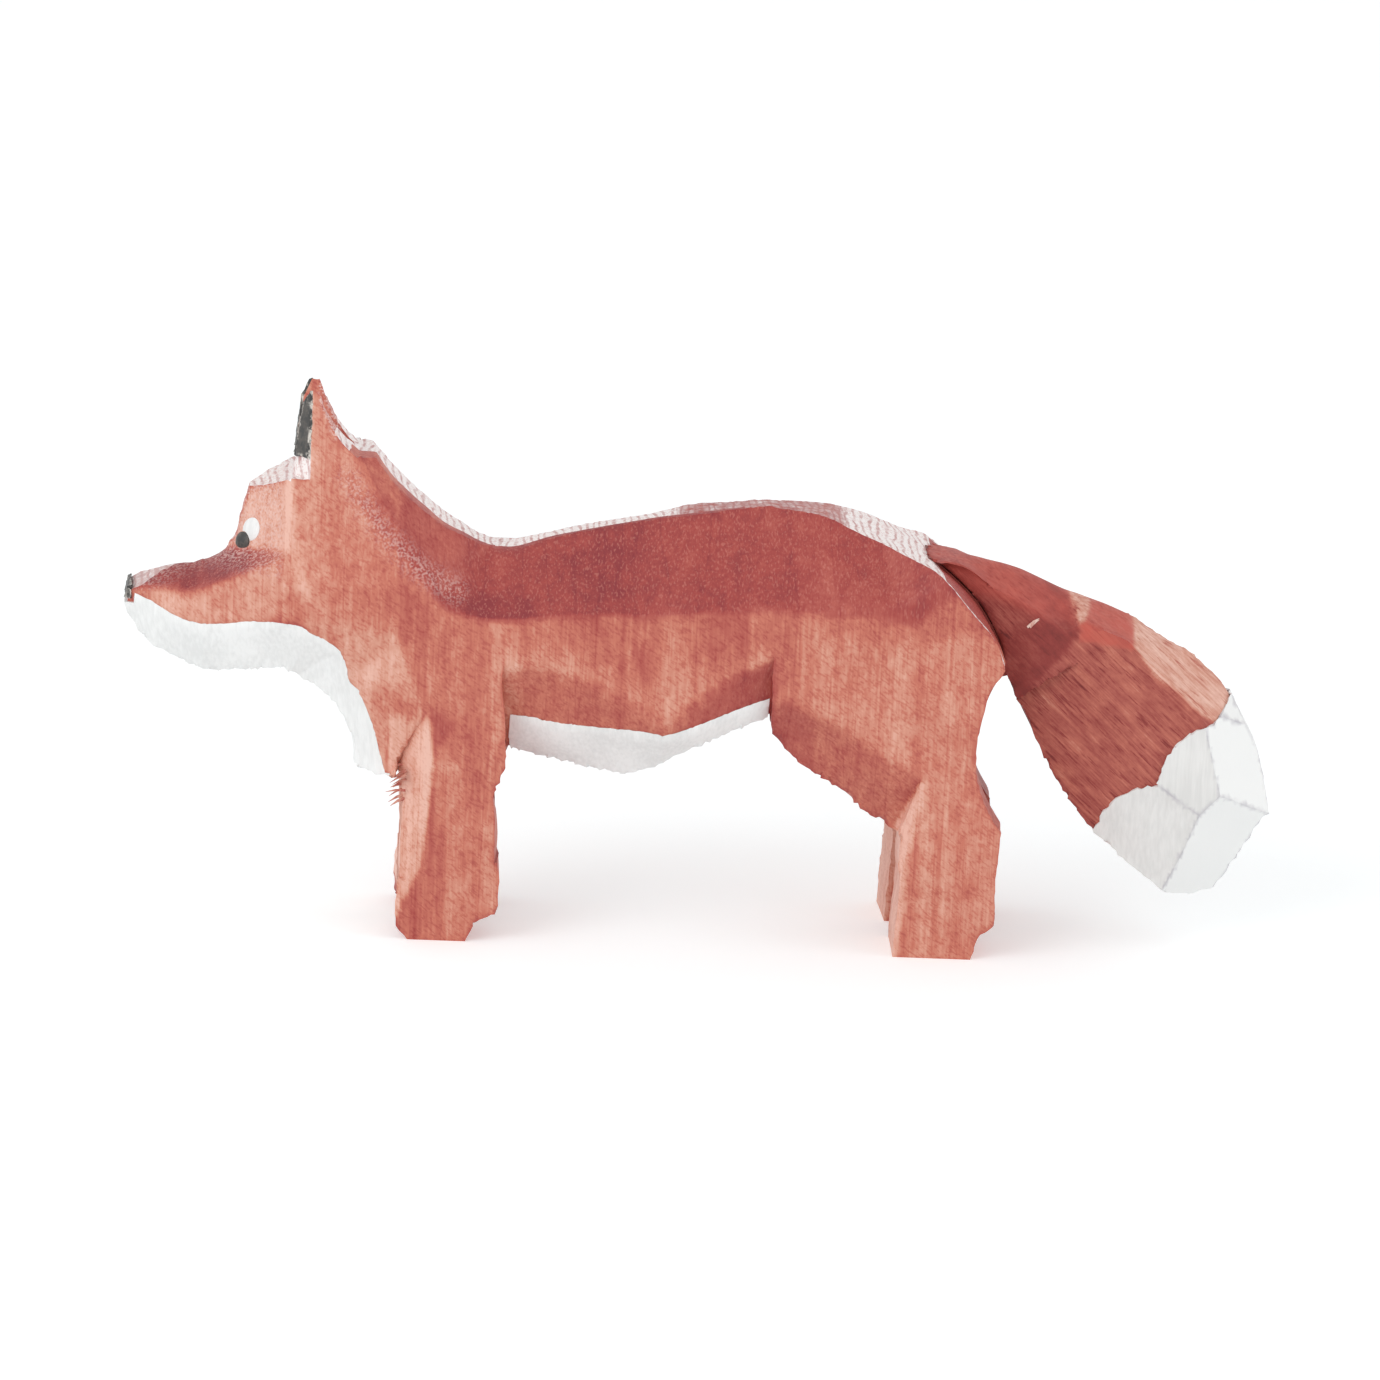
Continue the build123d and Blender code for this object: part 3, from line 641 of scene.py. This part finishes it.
def soften(piece, rounds, crisp=crisp_angle, low=(-99, -99, -99), high=(99, 99, 99)):
    """Wears down the edges of facets inside a box in mm, but not those that are crisper than an angle."""
    floor_clearance = 0.3 * MM
    kept = {index for ends, _, _ in sharp_edges(piece, crisp) for index in ends}
    choose(piece)
    bpy.context.tool_settings.mesh_select_mode = (True, False, False)
    for parts in (piece.data.polygons, piece.data.edges):
        parts.foreach_set("select", [False] * len(parts))
    spots = spots_of(piece)
    boxed = ((spots > low) & (spots < high)).all(1)
    for vertex in piece.data.vertices:
        free = vertex.index not in kept and vertex.co.z > floor_clearance
        vertex.select = bool(boxed[vertex.index]) and free
    bpy.ops.object.mode_set(mode="EDIT")
    bpy.ops.mesh.vertices_smooth(factor=0.5, repeat=rounds)
    bpy.ops.object.mode_set(mode="OBJECT")


def ridge_tail(piece):
    """Slopes the top of the tail down to both sides of a ridge, as the knife left it."""
    spots = spots_of(piece)
    x, z = spots[:, 0], spots[:, 2]
    facing_up = np.array([v.normal.z > top_facing for v in piece.data.vertices])
    fall = (root_fall + (tail_fall - root_fall) * rise(x, *fall_change)) * rise(x, *fall_start)
    roof = np.interp(x, *np.transpose(tail_ridge_line)) - fall * np.abs(spots[:, 1])
    moved = np.where(facing_up & (z > top_low), roof, np.minimum(z, roof))
    spots[:, 2] += (moved - z) * rise(x, *ridge_start) * rise(x, *ridge_end)
    move_to(piece, spots)


def outline_weights(piece, paint_rim=0.0):
    """Weight of each vertex on the turned outline, undersides the most, and of the rim of a coat."""
    weights = {}
    for ends, angle, normals in sharp_edges(piece, edge_angle):
        torn = paint_rim if angle > crisp_angle else 0.0
        for normal in normals:
            if abs(normal.y) < outline_facing:
                upper = wall_torn if normal.z < wall_facing else top_torn
                torn = max(torn, underside_torn if normal.z < underside_facing else upper)
        for index in ends:
            if piece.data.vertices[index].co.z > sole_clearance * MM:
                weights[index] = max(weights.get(index, 0), torn)
    return weights


def bare(piece, weights, covered):
    """Leaves out the vertices that lie under paint."""
    vertices = piece.data.vertices
    return {i: w for i, w in weights.items() if covered.find(vertices[i].co)[2] > paint_clearance * MM}


def mark(piece, name, domain, values):
    """Writes a value for each vertex or face, which the finish reads."""
    layer = piece.data.attributes.new(name, "FLOAT", domain)
    layer.data.foreach_set("value", values)


def blurred(piece, values, rounds):
    """Vertex values after being evened out along edges."""
    mesh = piece.data
    count = len(mesh.vertices)
    ends = np.empty(len(mesh.edges) * 2, int)
    mesh.edges.foreach_get("vertices", ends)
    first, second = ends.reshape(-1, 2).T
    degree = np.maximum(np.bincount(ends, minlength=count), 1)
    for _ in range(rounds):
        near = np.bincount(first, values[second], count) + np.bincount(second, values[first], count)
        values = 0.5 * values + 0.5 * near / degree
    return values


def on_vertices(piece, rule):
    """A rule's value on every face, averaged onto the vertices."""
    mesh = piece.data
    values = np.array([rule(face.normal, face.center / MM) for face in mesh.polygons])
    corners = np.empty(len(mesh.loops), int)
    mesh.loops.foreach_get("vertex_index", corners)
    sizes = np.empty(len(mesh.polygons), int)
    mesh.polygons.foreach_get("loop_total", sizes)
    count = len(mesh.vertices)
    met = np.maximum(np.bincount(corners, minlength=count), 1)
    return np.bincount(corners, np.repeat(values, sizes), count) / met


def signed_gap(spots, line):
    """Distance of each spot from a line on the side, positive on the left of its run."""
    flat = spots[:, [0, 2]]
    least = np.full(len(flat), np.inf)
    signed = np.zeros(len(flat))
    for start, end in zip(line, line[1:]):
        run = np.subtract(end, start)
        offset = flat - np.array(start)
        share = np.clip(offset @ run / (run @ run), 0, 1)
        away = np.hypot(*(offset - share[:, None] * run).T)
        left = np.where(run[0] * offset[:, 1] - run[1] * offset[:, 0] > 0, 1, -1)
        closer = away < least
        least[closer] = away[closer]
        signed[closer] = (left * away)[closer]
    return signed


def left_of(spots, line, soft):
    """Share of each spot that lies on the left of a line, with a soft border."""
    return rise(signed_gap(spots, line), -soft, soft)


def inside(spots, corners, soft):
    """Share of each spot inside a patch whose corners run anticlockwise, with a soft border."""
    sides = zip(corners, corners[1:] + corners[:1])
    return np.minimum.reduce([left_of(spots, side, soft) for side in sides])


def along(spots, line, width):
    """Closeness of each spot to a line, from 1 on it to 0 at the width."""
    return 1 - rise(np.abs(signed_gap(spots, line)), 0, width)


def zone_change(zones, x, z):
    """Change of tone that soft-edged zones make together at a place, or at many places at once."""
    change = 0.0
    for zone in zones.values():
        share = zone["change"]
        for border in zone.get("x", ()):
            share = share * rise(x, *border)
        for border in zone.get("z", ()):
            share = share * rise(z, *border)
        change = change + share
    return change


def body_tone(normal, spot):
    """Tone of a facet of the body: end grain took the most stain; facets that face forward are painted paler
    as painted light, and turned faces and facets that face back get painted shade.
    """
    side_on = rise(abs(normal.y), *side_facing)
    upward = rise(normal.z, *up_facing)
    downward = rise(normal.z, *down_facing) * side_on
    forward = rise(normal.x, *fore_facing) * side_on * (1 - downward) * (1 - upward)
    backward = rise(normal.x, *aft_facing) * side_on * (1 - upward)
    tone = side_tone + up_darker * upward
    # facets that face down are darker, partly by end-grain stain and partly as painted shade
    tone += (belly_darker + thigh_darker * rise(spot.x, *thigh_start)) * downward
    # painted light: facets that face forward are paler, less so on the head; painted shade on turned faces
    # and on facets that face back
    tone -= (fore_lit_paler - head_fore_less_lit * rise(spot.x, *head_start)) * forward
    tone += turned_shade_darker * (1 - side_on) * (1 - upward) + aft_shade_darker * backward
    return tone + upward * zone_change(upper_zones, spot.x, spot.z)


def body_sheen_and_rim(normal, spot):
    """Share of painted sheen, the bright room reflected on the turned top, which fades over the crest of the
    back.
    """
    turned = rise(abs(normal.y), *turned_facing)
    top = rise(normal.z, *sheen_facing) * turned * rise(spot.z, *sheen_low)
    if spot.x < bevelled_end and abs(spot.y) > bevelled_width:
        top = 0.0
    # the near edge of the back is stained over and has no painted sheen, and on the rump only the pale torn
    # rim stays white
    if stained_over_from < spot.x < stained_over_to and spot.y < stained_over_side:
        top = 0.0
    on_rump = rise(spot.x, *rump_start) * rise(spot.z, *rump_low)
    rump_rim = on_rump * rise(abs(spot.y), *rump_rim_side) * turned
    top += on_rump * (rump_rim * rise(normal.z, *rump_rim_facing) - top)
    crest = rise(spot.x, *crest_start) * rise(spot.x, *crest_end)
    top *= (1 - crest_fade * crest) * (1 - muzzle_fade * rise(spot.x, *muzzle_start))
    ear_foot = rise(normal.x, *ear_foot_facing) * rise(spot.z, *ear_foot_low)
    under_nose = rise(normal.x, *under_nose_facing) * rise(spot.x, *under_nose_start)
    return max(top, ear_foot, under_nose)


def lit_chamfers(tone, spots):
    """Painted light: pale tone on the chamfers that run down the fronts of the legs, which face the light
    from the front left.
    """
    x, z = spots[:, 0], spots[:, 2]
    fore = left_of(spots, fore_chamfer_line, soft=0.12)
    fore *= rise(z, *fore_chamfer_top) * rise(x, *fore_chamfer_front)
    tone += fore * (np.minimum(tone, fore_chamfer_tone) - tone)
    hind = left_of(spots, hind_chamfer_line, soft=0.15) * (1 - left_of(spots, hind_front_line, soft=0.1))
    hind *= rise(z, *hind_chamfer_top) * rise(x, *hind_chamfer_front)
    tone += hind * (np.minimum(tone, hind_chamfer_tone) - tone)


def shade_belly(tone, spots):
    """Darker bevel above the white of the belly, partly stain and partly painted shade, with a paler band of
    flank above it.
    """
    x = spots[:, 0]
    over_belly = rise(x, *bevel_front) * rise(x, *bevel_back)
    above = -signed_gap(spots, belly_bevel_line)
    darker = bevel_middle_darker * rise(x, *bevel_middle) + bevel_thigh_darker * rise(x, *bevel_thigh)
    tone += (darker - bevel_paler) * over_belly * rise(-above, *bevel_edge)
    tone -= flank_band_paler * over_belly * rise(above, *bevel_edge) * rise(above, *flank_band_end)


def shade_chest(tone, spots):
    """Painted light and shade: paler facet of the chest, painted highlight on the edge of the cheek, and
    painted shade on spots low on the chest and on the leg.
    """
    facet = left_of(spots, chest_line, soft=0.5)
    tone -= chest_lit_paler * facet * rise(spots[:, 0], *chest_front) * rise(spots[:, 2], *chest_low)
    tone -= cheek_edge_highlight * along(spots, cheek_line, width=0.55)
    tone += low_chest_shade * inside(spots, low_chest_patch, soft=0.7)
    tone += leg_shade_darker * inside(spots, leg_shade_patch, soft=0.25)


def darken_back(tone, spots):
    """Dark stain behind the nape's border and over the croup, darkest in the corner at the withers."""
    x, z = spots[:, 0], spots[:, 2]
    nape = left_of(spots, nape_border_line, soft=0.25) * rise(z, *nape_top) * rise(x, *nape_back)
    tone += nape * (np.maximum(tone, nape_tone + nape_low_darker * rise(z, *nape_low)) - tone)
    tone += inside(spots, croup_patch, soft=0.15) * (np.maximum(tone, croup_tone) - tone)
    tone += corner_darker * along(spots, dark_corner_line, width=1.3) * rise(tone, *corner_tones)


def rim_stain(piece, rounds):
    """Stain that gathered along the torn outline, spread over its neighbours."""
    rim = np.zeros(len(piece.data.vertices))
    for index, weight in outline_weights(piece).items():
        rim[index] = weight
    return rim_darker * blurred(piece, rim, rounds)


def lay_body_stain(piece):
    """Tone, painted sheen and scuffs of the body."""
    spots = spots_of(piece)
    x, z = spots[:, 0], spots[:, 2]
    tone = blurred(piece, on_vertices(piece, body_tone), 1)
    tone += zone_change(under_zones, x, z)
    for shade in (lit_chamfers, shade_belly, shade_chest, darken_back):
        shade(tone, spots)
    tone += zone_change(over_zones, x, z) + rim_stain(piece, 1)
    mark(piece, "tone", "POINT", tone)
    # painted sheen of the bright room on the turned top, plus the pale torn rim of the rump
    mark(piece, "sheen_and_rim", "FACE", [body_sheen_and_rim(face.normal, face.center / MM) for face in piece.data.polygons])
    scuffs = (
        nape_scuff * along(spots, scuffed_line, width=1.0),
        ear_scuff * along(spots, ear_back_line, width=0.25),
        muzzle_scuff * along(spots, muzzle_ridge, width=0.7),
        face_scuff * rise(x, *face_scuff_back) * rise(z, *face_scuff_low),
    )
    mark(piece, "scuff", "POINT", np.maximum.reduce(scuffs))


def lay_tail_stain(piece):
    """Tone of the tail: its root is darkest, partly stain and partly painted shadow of the rump, and the
    bevel along its top is palest, as painted light and sheen.
    """
    spots = spots_of(piece)
    upward = on_vertices(piece, lambda normal, spot: rise(normal.z, *tail_up_facing))
    root = left_of(spots, tail_root_line, soft=0.18)
    red = inside(spots, tail_red_patch, soft=0.1) * (1 - root)
    chip = inside(spots, tail_chip_patch, soft=0.1) * (1 - root)
    roof = left_of(spots, tail_roof_line, soft=0.12) * rise(spots[:, 0], *tail_roof_start)
    tone = np.full(len(spots), tail_tone)
    # the root is darkest along its border with the rump, partly stain and partly painted shadow of the rump
    inner_tone = root_tone - root_paler * rise(signed_gap(spots, tail_root_line), *root_inwards)
    tone += root * (inner_tone - tone) + red * (red_tone - tone)
    # painted light: facets that face up are paler
    tone -= tail_up_lit_paler * blurred(piece, upward, 2)
    # painted light and sheen: the roof along the top is palest
    tone += roof * (roof_lit_tone - tone)
    tone += chip * (chip_tone - tone)
    tone += rim_stain(piece, 2)
    mark(piece, "tone", "POINT", tone)
    root_top = root_top_red * inside(spots, tail_root_top_patch, soft=0.35)
    mark(piece, "red", "POINT", np.maximum(red * (1 - chip), root_top))


def crease_marks(piece, least, most):
    """Marks the vertices on creases whose angle lies between the two."""
    values = np.zeros(len(piece.data.vertices))
    for ends, angle, _ in sharp_edges(piece, least):
        if angle < most:
            values[ends] = 1.0
    mark(piece, "crease", "POINT", values)


def finish_piece(piece, material, node):
    """Shades a piece, gives it its finish, hangs it under the root and hides the CAD node that it stands
    for.
    """
    choose(piece)
    bpy.ops.object.shade_smooth_by_angle(angle=math.radians(smooth_angle))
    piece.data.materials.clear()
    piece.data.materials.append(material)
    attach(piece, "root")
    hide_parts(node)


def splinter(root, tip, thickness):
    """One torn fibre: a small disc drawn out twice to a bent point."""
    root, tip = Vector(root) * MM, Vector(tip) * MM
    aim = (tip - root).to_track_quat("Z", "Y").to_euler()
    bpy.ops.object.select_all(action="DESELECT")
    bpy.ops.mesh.primitive_circle_add(
        vertices=6, radius=thickness * MM, fill_type="NGON", location=root, rotation=aim
    )
    piece = bpy.context.object
    edit(piece)
    bend = Vector((0, 0, 0.06 * MM))
    middle = root.lerp(tip, 0.5) + bend
    for step, place, size in ((middle - root, middle, 0.8), (tip - middle, tip, 0.15)):
        bpy.ops.mesh.extrude_region_move(TRANSFORM_OT_translate={"value": step})
        bpy.ops.transform.resize(value=(size, size, size), center_override=place)
    bpy.ops.mesh.select_all(action="SELECT")
    bpy.ops.mesh.normals_make_consistent(inside=False)
    bpy.ops.object.mode_set(mode="OBJECT")
    bpy.ops.object.transform_apply(location=True, rotation=True, scale=True)
    return piece


white = brushed_white("brushed_white_paint", "#ebebea", "#f8f8f7")
thin_white = brushed_white("thin_white_paint", "#dfdedc", "#eae9e7")
black = dabbed_black()

# White coats with frayed outlines; the one on the tail tip has a scalloped rim and grey creases
white_rim = 0.3
lit_facing = (0.2, 0.4)
painted_spots = []
for node, material, fray in (
    ("throat_white_coat", white, white_fray),
    ("belly_white_coat", white, white_fray),
    ("tail_tip_white_coat", thin_white, tail_tip_fray),
):
    coat = worked_copy(node, node.replace("coat", "paint"), white_pitch)
    sweep(coat)
    if material is thin_white:
        crease_marks(coat, least=8, most=60)
        # painted light: the end facet of the tail tip, which faces the lamp on the right, is marked to be
        # painted whitest
        mark(coat, "lit_end", "FACE", [rise(face.normal.x, *lit_facing) for face in coat.data.polygons])
        vertices = coat.data.vertices
        rim = {i: w for i, w in outline_weights(coat, 1.0).items() if vertices[i].co.z > scallop_low * MM}
        for direction, patch in scallop_patches.items():
            displace(coat, rim, patch, scallop, direction)
    else:
        soften(coat, 2)
    hand_waver(coat)
    displace(coat, outline_weights(coat, white_rim), fray_patch, fray)
    finish_piece(coat, material, node)
    painted_spots += [v.co.copy() for v in coat.data.vertices]

# Black dabs; the one on the nose is smaller than its coat, and keeps to the coat's upper front
black_rim = 0.6
nose_dab = (0.65, 1, 0.75)
for node in ("nose_black_coat", "left_ear_black_coat", "right_ear_black_coat"):
    coat = worked_copy(node, node.replace("coat", "paint"), black_pitch)
    crease_marks(coat, least=30, most=every_angle)
    if node == "nose_black_coat":
        low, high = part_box(node)
        edit(coat)
        bpy.ops.transform.resize(value=nose_dab, center_override=(low[0], 0, high[2]))
        bpy.ops.object.mode_set(mode="OBJECT")
    hand_waver(coat)
    displace(coat, outline_weights(coat, black_rim), fray_patch, black_fray)
    finish_piece(coat, black, node)

# Dot eyes, a little lower than in the CAD model, with smaller whites
dot_shift = Vector((0.03, 0, -0.24)) * MM
eye_size, pupil_size = 0.86, 1.0
for side in ("left", "right"):
    for node, name, material, slot, size in (
        (f"{side}_eye_white", f"{side}_eye_dot", white, "white_paint", eye_size),
        (f"{side}_pupil", f"{side}_pupil_dot", black, "black_paint", pupil_size),
    ):
        dot = worked_copy(node, name, dot_pitch)
        low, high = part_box(node)
        edit(dot)
        bpy.ops.transform.resize(value=(size, 1, size), center_override=(Vector(low) + Vector(high)) / 2)
        bpy.ops.transform.translate(value=dot_shift)
        bpy.ops.object.mode_set(mode="OBJECT")
        hand_waver(dot)
        finish_piece(dot, material, node)

# Wood that paint covers, which is not torn
covered = kdtree.KDTree(len(painted_spots))
for index, spot in enumerate(painted_spots):
    covered.insert(spot, index)
covered.balance()

# Body, worn smooth at the slit of the chest and at the brow
carved_body = worked_copy("body", "carved_body", body_pitch)
sweep(carved_body)
lay_body_stain(carved_body)
soften(carved_body, 1)
soften(carved_body, 2, every_angle, low=(-16.0, -9, 9.2), high=(-13.2, 9, 12.9))
soften(carved_body, 8, every_angle, low=(-25.8, -1.7, 18.6), high=(-23.5, 1.7, 21.0))
hand_waver(carved_body)
displace(carved_body, bare(carved_body, outline_weights(carved_body), covered), fray_patch, wood_fray)
finish_piece(carved_body, body_wood(), "body")

# Tail, worn smooth under its root and over it
carved_tail = worked_copy("tail", "carved_tail", tail_pitch)
soften(carved_tail, 2)
soften(carved_tail, 30, low=(15, -9, 11), high=(20.8, 9, 17.6))
ridge_tail(carved_tail)
soften(carved_tail, 9, every_angle, low=(12.2, -9, 15.5), high=(20.5, 9, 21))
lay_tail_stain(carved_tail)
hand_waver(carved_tail)
displace(carved_tail, bare(carved_tail, outline_weights(carved_tail), covered), fray_patch, wood_fray)
finish_piece(carved_tail, tail_wood(), "tail")

glue_line = worked_copy("tail_glue", "dried_glue_line", glue_pitch)
hand_waver(glue_line)
finish_piece(glue_line, dried_glue(), "tail_glue")

# Fibres torn out under the breast, where the knife left the wood
fibre_count, fibre_top, fibre_spacing = 11, 9.0, 0.17
fibre_root, fibre_start, fibre_sides = -15.15, -15.25, (-4.1, -2.6)
fibre_length, fibre_lean, fibre_droop, fibre_thickness = (0.5, 1.0), (0.0, 0.3), (0.0, 0.5), (0.06, 0.11)
fibres = []
for i in range(fibre_count):
    height = fibre_top - fibre_spacing * i
    side = rng.uniform(*fibre_sides)
    length = rng.uniform(*fibre_length)
    root = (fibre_root, side, height)
    tip = (fibre_start - length, side - rng.uniform(*fibre_lean), height - rng.uniform(*fibre_droop))
    fibres.append(splinter(root, tip, rng.uniform(*fibre_thickness)))

# Two slivers side by side on the near side of the tail's root
sliver_aim = Vector((17.0, -20, 17.4))
sliver_back, sliver_front, sliver_thickness = Vector((-0.3, -0.02, -0.25)), Vector((0.32, -0.05, 0.27)), 0.07
sliver_place = carved_tail.ray_cast(sliver_aim * MM, Vector((0, 1, 0)))[1] / MM
for shift in (0.0, 0.12):
    beside = sliver_place + Vector((shift, 0, 0))
    fibres.append(splinter(beside + sliver_back, beside + sliver_front, sliver_thickness))
choose(fibres[0])
for fibre in fibres:
    fibre.select_set(True)
bpy.ops.object.join()
torn_fibres = bpy.context.object
torn_fibres.name = "torn_fibres"
mark(torn_fibres, "soaked", "POINT", [float(v.co.x < 0) for v in torn_fibres.data.vertices])
finish_piece(torn_fibres, torn_fibre(), "body")

# Camera at the photograph's viewing angle, with the photograph's pixels per mm at the target
azimuth, elevation, roll = (math.radians(a) for a in (-3.4, 13.5, 2.4))
camera_distance = 380
photo_scale, photo_width = 19.2, 1380
target = Vector((-0.445, 0, 12.602)) * MM
backwards = Vector(
    (math.sin(azimuth) * math.cos(elevation), -math.cos(azimuth) * math.cos(elevation), math.sin(elevation))
)
rightwards = Vector((math.cos(azimuth), math.sin(azimuth), 0))
upwards = backwards.cross(rightwards)
tilted_right = math.cos(roll) * rightwards + math.sin(roll) * upwards
tilted_up = backwards.cross(tilted_right)
lens = bpy.data.cameras.new("photo_camera")
lens.sensor_width = 36
lens.lens = lens.sensor_width * photo_scale * camera_distance / photo_width
lens.clip_start = 0.01
lens.clip_end = 20
camera = bpy.data.objects.new("photo_camera", lens)
bpy.context.scene.collection.objects.link(camera)
turn = camera.matrix_world.to_3x3()
turn.col[0] = tilted_right
turn.col[1] = tilted_up
turn.col[2] = backwards
camera.matrix_world = turn.to_4x4()
camera.location = target + camera_distance * MM * backwards
bpy.context.scene.camera = camera


def seen_ray(tree):
    """1 for rays that show a surface to the camera, straight, mirrored or through glass."""
    seen = put(tree, "LightPath", output="Is Camera Ray")
    for way in ("Is Glossy Ray", "Is Transmission Ray"):
        seen = put(tree, "Math", (seen, put(tree, "LightPath", output=way)), operation="MAXIMUM")
    return seen


# Pale paper floor that keeps the shadow and goes to white for the camera
floor_lift = 0.3
bpy.ops.object.select_all(action="DESELECT")
bpy.ops.mesh.primitive_plane_add(size=6, location=(0, 0, 0))
floor = bpy.context.object
floor.name = "studio_floor"
floor_material, floor_tree, floor_shader = new_material("pale_paper_floor")
floor_shader.inputs["Base Color"].default_value = linear("#f0f4f5")
floor_shader.inputs["Roughness"].default_value = 0.9
lift = put(floor_tree, "Math", (seen_ray(floor_tree), floor_lift), operation="MULTIPLY")
glow = put(floor_tree, "Emission", {"Color": (1, 1, 1, 1), "Strength": lift})
paper = put(floor_tree, "AddShader", (floor_shader.outputs["BSDF"], glow))
floor_out = next(n for n in floor_tree.nodes if n.type == "OUTPUT_MATERIAL")
floor_tree.links.new(paper, floor_out.inputs["Surface"])
floor.data.materials.append(floor_material)

# Soft studio light: an even white room, and two large lamps of equal strength from the left and the right
room_light = 0.72
world = bpy.data.worlds.new("white_room")
bpy.context.scene.world = world
world.use_nodes = True
room = world.node_tree
sky = next(n for n in room.nodes if n.type == "BACKGROUND")
sky.inputs["Color"].default_value = (1, 1, 1, 1)
room.links.new(put(room, "MapRange", (seen_ray(room), 0.0, 1.0, room_light, 1.0)), sky.inputs["Strength"])

lamp_size, lamp_energy = 0.5, 1.5
lamp_target = Vector((0, 0, 0.012))
for name, place in (
    ("soft_lamp_left", (-0.45, -0.42, 0.32)),
    ("soft_lamp_right", (0.62, -0.25, 0.06)),
):
    lamp_data = bpy.data.lights.new(name, "AREA")
    lamp_data.shape = "DISK"
    lamp_data.size = lamp_size
    lamp_data.energy = lamp_energy
    lamp = bpy.data.objects.new(name, lamp_data)
    bpy.context.scene.collection.objects.link(lamp)
    lamp.location = place
    lamp.rotation_euler = (lamp_target - lamp.location).to_track_quat("-Z", "Y").to_euler()

bpy.context.scene.view_settings.view_transform = "Standard"
